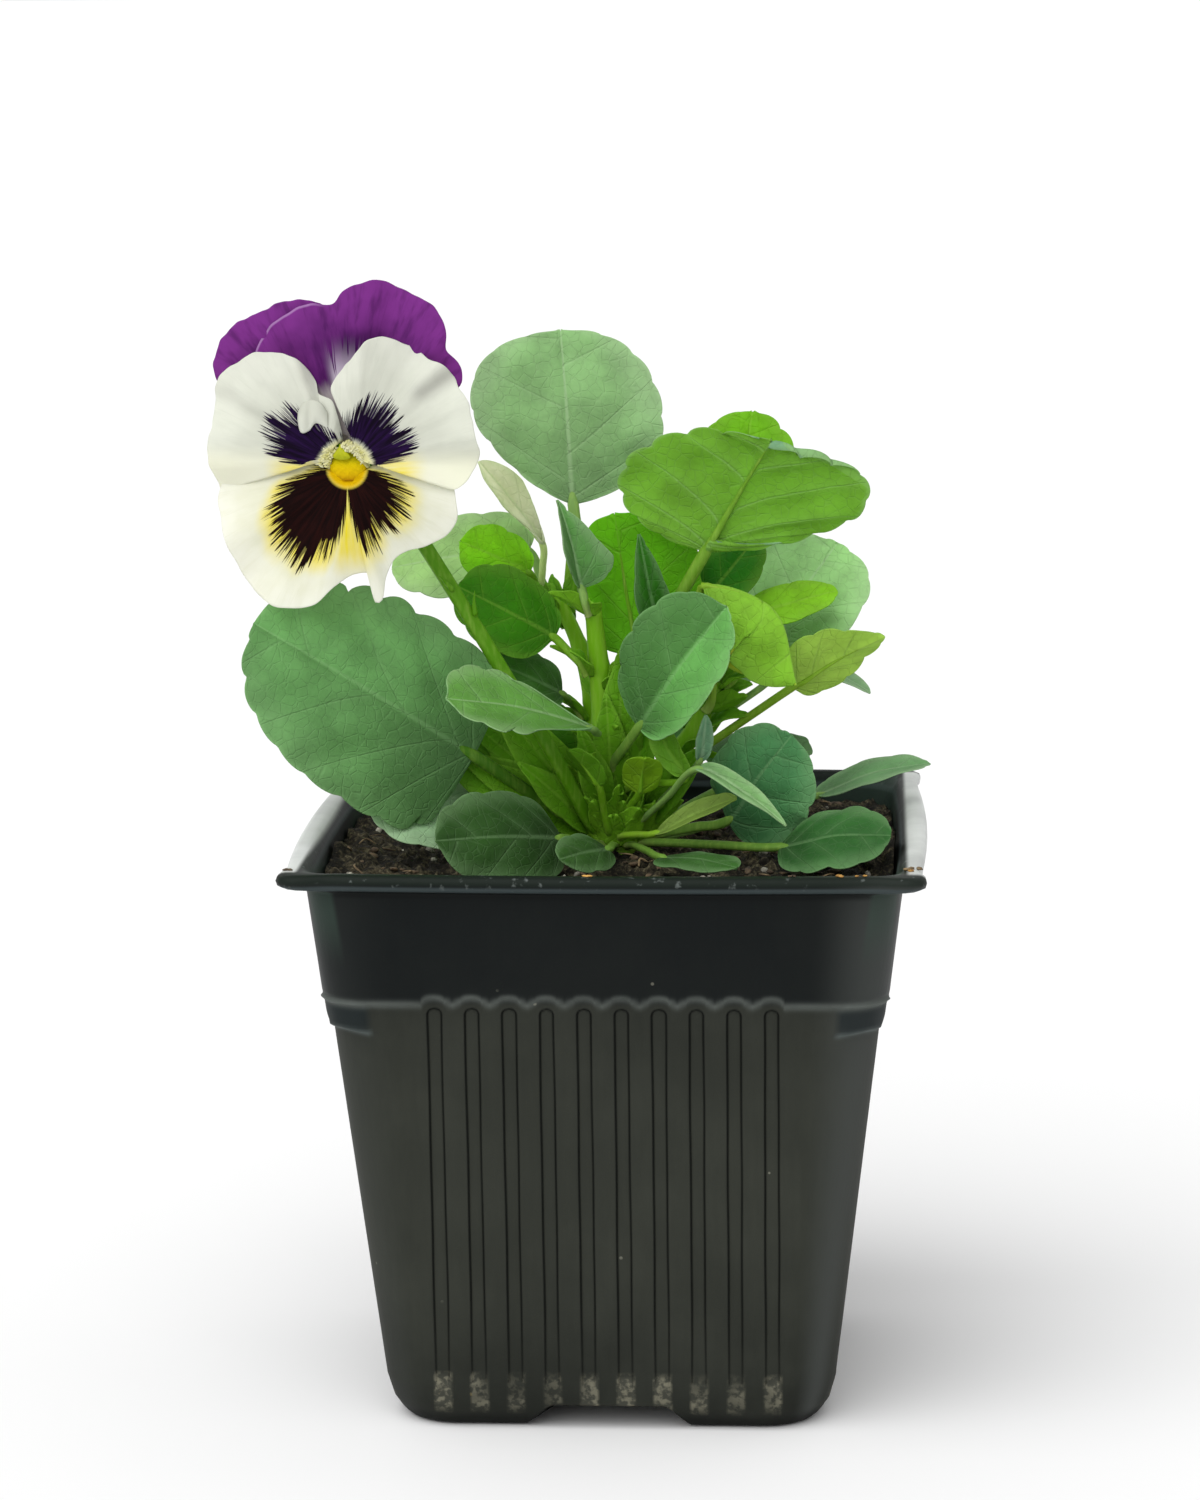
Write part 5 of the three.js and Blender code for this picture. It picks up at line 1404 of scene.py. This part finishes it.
def petal_grid(petal):
    rng = np.random.default_rng(petal["seed"])
    rows, columns = PETAL_ROWS, PETAL_COLUMNS
    throat = np.array(petal["throat"], float)
    outline = plane_curve(petal["outline"]).even(columns + 1)[:, :2]
    aim = compass(petal["angle"])
    s = np.linspace(0, 1, columns + 1)
    side = np.array([-aim[1], aim[0]])
    lat = np.linspace(-1, 1, columns + 1)
    if (outline[-1] - outline[0]) @ side < 0:
        lat = -lat
    b = (np.linspace(0, 1, rows + 1) ** 0.85)[:, None]
    base = throat[:2] + CLAW_HALF * lat[:, None] * side
    flat = base + (outline - base) * b[..., None]
    # Small nicks and swells of the margin.
    edge = sum(a * np.sin(2 * math.pi * f * s + p) for a, f, p in zip(
        (0.12, 0.07, 0.035), (7, 15, 27), rng.uniform(0, 6, 3)))
    way = unit(outline - base)
    flat = flat + way * (edge * b**4)[..., None]
    ripple = sum(a * np.sin(2 * math.pi * f * s + p) for a, f, p in zip(
        (0.8, 0.7, 0.45, 0.25), (1.6, 3.1, 5.3, 8.9), rng.uniform(0, 6, 4)))
    fan = np.degrees(np.arctan2(way[:, 1], way[:, 0]))
    pleats = 0.5 * np.sin(np.radians(fan * 23)) + 0.5 * np.sin(np.radians(fan * 41) + 1)
    z = throat[2] + (petal["rim"] - throat[2]) * b**1.6 + petal["cup"] * np.sin(math.pi * b**0.8)
    calm = smooth(0, 0.16, s) * smooth(1, 0.84, s)
    z = z + petal["ruffle"] * ripple * calm * b**2.1 + 0.045 * pleats * np.sin(math.pi * b) ** 0.7
    fold = np.zeros(z.shape)
    if "fold" in petal:
        start, end, deep, wide, dark_paint = petal["fold"]
        start, end = np.array(start, float), np.array(end, float)
        line = unit(end - start)
        share_on = ((flat - start) @ line) / np.linalg.norm(end - start)
        off = (flat - start) @ np.array([-line[1], line[0]])
        fold = smooth(1.05, 0.75, share_on) * smooth(-0.25, 0.1, share_on) * np.exp(-(off / wide) ** 2)
        z = z - deep * fold
        # The fold mark carries the share of painted shade in the dent.
        fold = fold * dark_paint
    sheet = np.concatenate([flat, np.broadcast_to(z[..., None], flat.shape[:2] + (1,))], axis=-1)
    claws = []
    for out, back in ((CLAW_OUT, CLAW_BACK), (CLAW_BEND_OUT, throat[2] - 1)):
        middle = aim[:2] * out
        line = middle + CLAW_HALF * lat[:, None] * side
        claws.append(np.column_stack([line, np.full(columns + 1, back)]))
    start = np.stack(claws)
    grid = np.concatenate([start, sheet])
    marks = np.concatenate([np.zeros((2, columns + 1, 2)), flat])
    share = np.concatenate([np.zeros((2, columns + 1)), np.broadcast_to(b, z.shape)])
    return grid, marks, share, np.concatenate([np.zeros((2, columns + 1)), fold])


def petal_sheet(shape, petal):
    grid, marks, share, fold = petal_grid(petal)
    thick = PETAL_THICK[0] + (PETAL_THICK[1] - PETAL_THICK[0]) * share
    flat = np.concatenate([marks, np.full(share.shape + (1,), petal["seed"] * 5.0)], axis=-1)
    petal_faces(shape, grid, thick[..., None], flat=flat, edge=share, fold=fold,
                under=(0 * share, share * 0 + 1))


def petal_paint(name, middle, rim, back, reach_table, blotch, guide):
    """A petal's paint: its ground, the yellow guide and the whiskered blotch, all round the eye."""
    paint = Paint(name)
    flat = paint.mark("flat", "Vector")
    x, y, z = paint.split(flat)
    turn = paint.math("ARCTAN2", y, x)
    turn = paint.math("MODULO", turn / (2 * math.pi) + 1.0, 1.0)
    degree = turn * BLOTCH_TURN
    far = paint.math("SQRT", x * x + y * y)

    def rays(stretch):
        """Coordinates round the eye, in which noise makes streaks that run outward."""
        return paint.node("ShaderNodeCombineXYZ", {0: turn * 60.0, 1: far * stretch, 2: z})

    streak = paint.noise(1.6, 3, rays(0.1))
    thin = paint.noise(5.0, 2, rays(0.1))
    hair_line = paint.noise(2.4, 1, rays(0.02))
    fine_line = paint.noise(6.0, 1, rays(0.02))
    length_noise = paint.noise(1.1, 1, rays(0.0))
    edge = paint.mark("edge")
    cloud = paint.noise(0.14, 3, flat)
    tone = edge + (cloud - 0.5) * 0.7
    streaks_share = 0.42 if reach_table is None else 0.14
    color = paint.coat(
        paint.mix(paint.step(0.35, 1.05, tone), middle, rim),
        (paint.step(0.45, 0.7, streak) * streaks_share, back),
        # The fold mark: painted grey shade in the dent of a fold.
        (paint.step(0.62, 0.72, fine_line) * 0.1, back), (paint.mark("fold"), 0xa6a69d))
    if reach_table is not None:
        stops = [(at / BLOTCH_TURN, far_out / BLOTCH_MOST) for at, far_out in reach_table]
        reach = paint.ramp(turn, stops) * BLOTCH_MOST
    if blotch and not guide:
        # Towards the lower petal the side petals turn cream, with yellow streaks near the eye.
        low = paint.step(3.2, -0.6, y - far * 0.04)
        sun = low * paint.step(3, 6, far) * paint.step(12.5, 8, far)
        sun = paint.math("MULTIPLY", sun, streak * 1.2 + 0.1, clamp=True)
        color = paint.coat(color, (low * 0.85, 0xf0f0dc), (sun, 0xf0e03c),
                           (paint.step(4.6, 3.4, far), 0xe2dfa4))
    if guide:
        yellow_edge = reach + (cloud - 0.4) * 6.0
        near = paint.step(yellow_edge + 2.0, yellow_edge - 2.4, far)
        wedge = paint.step(259, 266, degree) * paint.step(290, 281, degree)
        wedge = wedge * paint.step(16.5, 11.5, far)
        near = paint.math("MULTIPLY", paint.most(near, wedge), streak * 0.9 + 0.34, clamp=True)
        color = paint.mix(near * guide, color, 0xeede34)
    if blotch:
        # Solid ink near the eye, and beyond it hairs of ink that narrow to their tips.
        core = reach - (streak * 3.0 + 1.9)
        solid = paint.step(core + 0.25, core - 0.25, far)
        left_over = reach + length_noise * 3.6 - 1.2 - far
        wide = left_over * 0.036
        hair = paint.step(wide + 0.012, wide - 0.012, abs(hair_line - 0.5))
        wide = (left_over - 0.6) * 0.04
        hair_fine = paint.step(wide + 0.02, wide - 0.02, abs(fine_line - 0.5))
        hairs = paint.most(hair, hair_fine * 0.8) * paint.step(-0.1, 0.3, left_over)
        inner = paint.step(2.6, 3.3, far) if guide else paint.step(2.9, 3.9, far - streak * 1.6)
        inner = inner * (1.0 - paint.mark("under") * 0.7)
        dark, light = blotch
        dark_paint = paint.mix(paint.step(0.35, 0.75, streak), dark, light)
        dark_paint = paint.mix(paint.step(0.6, 0.7, fine_line) * 0.35, dark_paint, light)
        color = paint.mix(paint.most(solid, hairs) * inner, color, dark_paint)
    if guide:
        color = paint.mix(paint.step(3.3, 2.4, far), color, 0xe8c000)
    if reach_table is None:
        fan = paint.step(78, 86, degree) * paint.step(106, 98, degree)
        bare = fan * paint.step(19.5, 12.5, far)
        pale = paint.most(paint.step(0.5, 0.56, bare * 0.12 + hair_line),
                          paint.step(0.55, 0.6, bare * 0.14 + fine_line))
        bare = bare * (bare * 0.5 + 0.25)
        foot = paint.step(13.2, 10.2, far + 1.0 - streak * 2.0)
        # A thin painted lavender highlight along the near side of the upper right petal's left margin.
        margin_highlight = paint.step(0.978, 0.99, edge) * paint.step(98, 106, degree) * paint.step(27, 28, z)
        color = paint.coat(color, (bare * pale, 0xe8dcec), (foot * 0.9, 0xbdb4b6), (margin_highlight * 0.6, 0xc096ca))
    normal = paint.bump(streak * 0.7 + thin * 0.3, 0.14, 0.45)
    return paint.finish(color, cloud * 0.2 + 0.6, normal, color, 0.3, specular=0.07)


def hair_part(shape, start, way, length, radius):
    """A short tapering hair."""
    start = np.asarray(start, float)
    way = unit(way)
    bend = unit(np.cross(way, (0.3, 0.2, 0.9))) * length * 0.15
    points = [start, start + way * length * 0.5 + bend, start + way * length]
    curve = Curve([from_flower(p) for p in points])
    radii = radius * np.array([1, 0.95, 0.85, 0.7, 0.3])
    shape.tube(curve, np.linspace(0, 1, 5), radii, (0.1, -1, 0.2), sides=5, material=1)


def beard_paint():
    paint = Paint("beard")
    patchy = paint.step(0.35, 0.65, paint.noise(900, 3))
    color = paint.mix(patchy, 0xd8d486, 0xeeecc6)
    normal = paint.bump(paint.noise(4000, 2), 0.05, 0.5)
    return paint.finish(color, 0.75, normal, color, 0.3, specular=0.1)


# The outer and the inner edge of the beard at the foot of each side petal.
BEARDS = {
    "side_left": (((-4.5, 0.6), (-4.3, 2.1), (-3.6, 2.9), (-2.7, 3.45)),
                  ((-2.9, 0.1), (-2.6, 0.9), (-2.0, 1.8), (-1.0, 2.9))),
    "side_right": (((-0.9, 3.2), (0.4, 4.0), (1.9, 3.4), (3.2, 1.9)),
                   ((-0.3, 2.4), (0.7, 2.7), (1.6, 2.1), (2.6, 0.7))),
}
BEARD_HAIRS = 190
FLAP_HINGE = ((-6.9, 8.2), (-6.0, 9.35), (-4.9, 9.7), (-3.7, 9.3), (-2.7, 7.9))
FLAP_EDGE = ((-7.0, 6.7), (-6.35, 5.0), (-5.3, 5.3), (-4.3, 6.4), (-2.6, 5.7))
FLAP_BULGE = 1.3
FLAP_LIFT = 0.5
FLAP_CREASE = -5.2
FLAP_THICK = 0.16
SPUR = ((0, -2.4, -2.6), (0, -3.0, -5), (0, -3.2, -8.6))
SPUR_RADIUS = 1.25


def petal_flap(shape):
    """The inner margin of the left side petal, turned down over the petal in a bulging flap."""
    hinge, edge = plane_curve(FLAP_HINGE).even(41), plane_curve(FLAP_EDGE).even(41)
    share = np.linspace(0, 1, 19)[:, None, None]
    grid = hinge + (edge - hinge) * share
    ends = np.sin(math.pi * np.linspace(0.03, 0.97, 41)) ** 0.5
    crease = 1 - 0.3 * np.exp(-((grid[..., 0] - FLAP_CREASE) / 0.5) ** 2)
    bulge = np.sin(math.pi * (0.08 + 0.72 * share[..., 0])) ** 0.8
    grid[..., 2] = FLAP_LIFT + FLAP_BULGE * bulge * ends * crease
    away = grid * (1, 1, 0) + (0, 24.0, 60.0)
    petal_faces(shape, grid, FLAP_THICK, flat=away,
                edge=np.broadcast_to(0.35 + 0.5 * share[..., 0], grid.shape[:2]))


def make_petals():
    purple = petal_paint("petal_purple_velvet", 0x3d0c4c, 0x853690, 0x2a0639, None, None, 0)
    white = petal_paint("petal_white_satin", 0xd2d4c7, 0xe4e6da, 0xbcc0b2,
                        SIDE_BLOTCH, (0x100519, 0x2a1144), 0)
    cream = petal_paint("petal_cream_satin", 0xdfdfc2, 0xf2f2e6, 0xd2d2b0,
                        LOWER_BLOTCH, (0x120404, 0x260b09), 1.0)
    beard = beard_paint()
    for name, petal in PETALS.items():
        paints, slot = [purple], "petal_purple"
        shape = Shape()
        petal_sheet(shape, petal)
        if name in BEARDS:
            paints, slot = [white, beard], "petal_white"
            rng = np.random.default_rng(petal["seed"] + 20)
            outer, inner = map(plane_curve, BEARDS[name])
            for _ in range(BEARD_HAIRS):
                share, across = rng.uniform(0, 1), rng.uniform(0, 1)
                x, y, _ = outer.at(share) * (1 - across) + inner.at(share) * across
                toward = np.array([-x * 0.3 + rng.normal(0, 0.4), -y * 0.3 + rng.normal(0, 0.4),
                                   rng.uniform(0.7, 1.6)])
                hair_part(shape, (x, y, petal["throat"][2] - 0.1), toward, rng.uniform(0.45, 0.9),
                          rng.uniform(0.15, 0.24))
        if name == "side_left":
            petal_flap(shape)
        if name == "lower":
            paints, slot = [cream], "petal_cream"
            stops = np.linspace(0, 1, 16)
            radii = SPUR_RADIUS * np.sqrt(np.clip(1 - (stops * 0.99) ** 6, 0.02, 1))
            spur = Curve([from_flower(p) for p in SPUR])
            shape.tube(spur, stops, radii, (1, 0, 0), sides=16, edge=0.9)
        shape.make(f"petal_{name}_grown", paints, f"petal_{name}")


EYE_HALF = 2.75
EYE_RAISE = 0.3
EYE_UP = 1.9
EYE_DOWN = 2.15
# The green tip of the pistil: its apex, the middle of its foot and its half width there.
PISTIL_APEX = (-0.8, 3.4)
PISTIL_FOOT = (-0.45, 1.2)
PISTIL_HALF = 1.5
PISTIL_SLIM = 0.12


def make_column():
    """The flower's eye: a velvety cushion with the flat green tip of the pistil over it."""
    shape = Shape()
    rings, around = 26, 72
    r = np.linspace(0.02, 1, rings)[:, None]
    a = np.linspace(0, 2 * math.pi, around, endpoint=False)[None, :]
    x = EYE_HALF * r * np.cos(a)
    y = r * np.sin(a) * np.where(np.sin(a) > 0, EYE_UP, EYE_DOWN) + EYE_RAISE
    furrow = 0.06 * np.sin(a * 13) * r
    lumps = 0.05 * np.sin(x * 5.1 + 1) * np.sin(y * 4.7)
    z = -0.6 + 1.15 * np.sqrt(np.clip(1 - r**2 * 0.98, 0, 1)) + furrow + lumps
    top = np.stack([x, y, z], axis=-1)
    bottom = np.stack([x[-1] * 0.7, y[-1] * 0.7, np.full(around, -2.8)], axis=-1)[None]
    grid = np.concatenate([top, bottom])
    shape.rings(from_flower(grid), flat=grid.reshape(-1, 3))
    share = np.linspace(0, 1, 24)[:, None]
    angle = np.linspace(0, 2 * math.pi, 28, endpoint=False)[None, :]
    half = PISTIL_SLIM + (PISTIL_HALF - PISTIL_SLIM) * smooth(0, 1, share) ** 0.9
    half = half * np.sqrt(np.clip(1 - (share / 1.02) ** 8, 0.01, 1))
    deep = 0.16 + 0.34 * np.sin(math.pi * np.clip(share, 0.05, 0.95)) ** 0.8
    middle = [PISTIL_APEX[i] + (PISTIL_FOOT[i] - PISTIL_APEX[i]) * share for i in (0, 1)]
    tip = np.stack([
        middle[0] + half * np.cos(angle), middle[1] + 0 * angle,
        0.7 + 0.45 * np.sin(math.pi * share * 0.7) + deep * np.sin(angle),
    ], axis=-1)
    shape.rings(from_flower(tip), 1)
    paint = Paint("eye_cushion")
    _, y, _ = paint.split(paint.mark("flat", "Vector"))
    grain = paint.noise(2600, 3)
    color = paint.ramp((y + grain * 0.9) * 0.2 + 0.42, [
        (0.0, 0x6a3c00), (0.12, 0xb48200), (0.3, 0xcca600), (0.6, 0xccb400), (0.86, 0xa8a808)])
    normal = paint.bump(grain, 0.14, 0.9)
    cushion = paint.finish(color, 0.8, normal, specular=0.1)
    paint = Paint("pistil_green")
    grain = paint.noise(1800, 3)
    color = paint.mix(grain, 0x8a9200, 0xb2b414)
    green = paint.finish(color, 0.5, paint.bump(grain, 0.1, 0.6), specular=0.2)
    shape.make("flower_eye_grown", [cushion, green], "flower_column")


def make_sepals():
    face = from_flower((0, 0, 1)) - FLOWER_CENTER
    for number in range(5):
        aim = compass(90 + 72 * (number + 0.5))
        curve = Curve([
            from_flower(aim * (SEPAL_START + SEPAL_LENGTH * share) + (0, 0, SEPAL_BACK - sink))
            for share, sink in ((0, 0), (0.5, 0.5), (1, 1.5))])
        shape = Shape()
        Blade(curve, 0.0, face, SEPAL_WIDTH, 0.35, 700 + number, tooth_depth=0, veins=4, tip_round=1.4,
              rows=44, columns=9, cup=0.3).add_to(shape)
        shape.make(f"sepal_{number + 1}_grown", [blade_material("bright", 0x5c9c28, 0x7fb24c)],
                   f"sepal_{number + 1}")


def make_flower_stalk(stalk):
    shape = Shape()
    start, out = seat_on("crown", 236, 36)
    ends = [from_flower(p) for p in FLOWER_STALK_END]
    curve = Curve([start, start + out * STALK_START, *map(np.array, FLOWER_STALK), *ends])
    stops = np.concatenate([np.linspace(0, 0.86, 60)[:-1], np.linspace(0.86, 1, 24)])
    radius = FLOWER_STALK_RADIUS + (RECEPTACLE_RADIUS - FLOWER_STALK_RADIUS) * smooth(
        FLOWER_STALK_WIDENS - 0.03, FLOWER_STALK_WIDENS + 0.02, stops)
    shape.tube(curve, stops, radius, (1, -1, 0), sides=18, channel=0.35, along=0.3 + stops)
    for side, t in ((1, 0.42), (-1, 0.45)):
        place, ahead, across, up = curve.frame(np.array(t), (1, -1, 0))
        foot = place + up * FLOWER_STALK_RADIUS * 0.7 + across * side * 0.5
        bract = Curve([foot, foot + ahead * 1.6 + up * 0.5 + across * side * 0.6,
                       foot + ahead * 3.2 + up * 1.2 + across * side * 1.4])
        radii = 0.42 * np.array([1, 1, 0.95, 0.85, 0.7, 0.55, 0.4, 0.25, 0.12])
        shape.tube(bract, np.linspace(0, 1, 9), radii, up, sides=8, along=1.2)
    shape.make("flower_stalk_grown", [stalk], "flower_stalk")


make_camera()
make_stage()
make_pot()
make_soil()
STALKS = {
    "fan": stalk_material("stalk_fan", 0x8cb83c, 0x6c9c28),
    "pale": stalk_material("stalk_pale", 0xb4d068, 0xd8ec9c),
    "deep": stalk_material("stalk_deep", 0x789440, 0x4c821e),
    "dark": stalk_material("stalk_dark", 0x93ad58, 0x6a943a),
    "glaucous": stalk_material("stalk_glaucous", 0xa4bc6c, 0x80a858),
    "bright": stalk_material("stalk_bright", 0x92b84a, 0x6ca21c),
    "yellow": stalk_material("stalk_yellow", 0xa6c462, 0x84b02c),
}
STEM = stalk_material("stem_green", 0x567e16, 0x7cba1c)
make_crown(STEM)
for number, (leaf_name, leaf) in enumerate(LEAVES.items()):
    make_leaf(leaf_name, leaf, 31 + 7 * number, STALKS)
make_petals()
make_column()
make_sepals()
make_flower_stalk(stalk_material("flower_stem", 0x6c9a20, 0x589412))
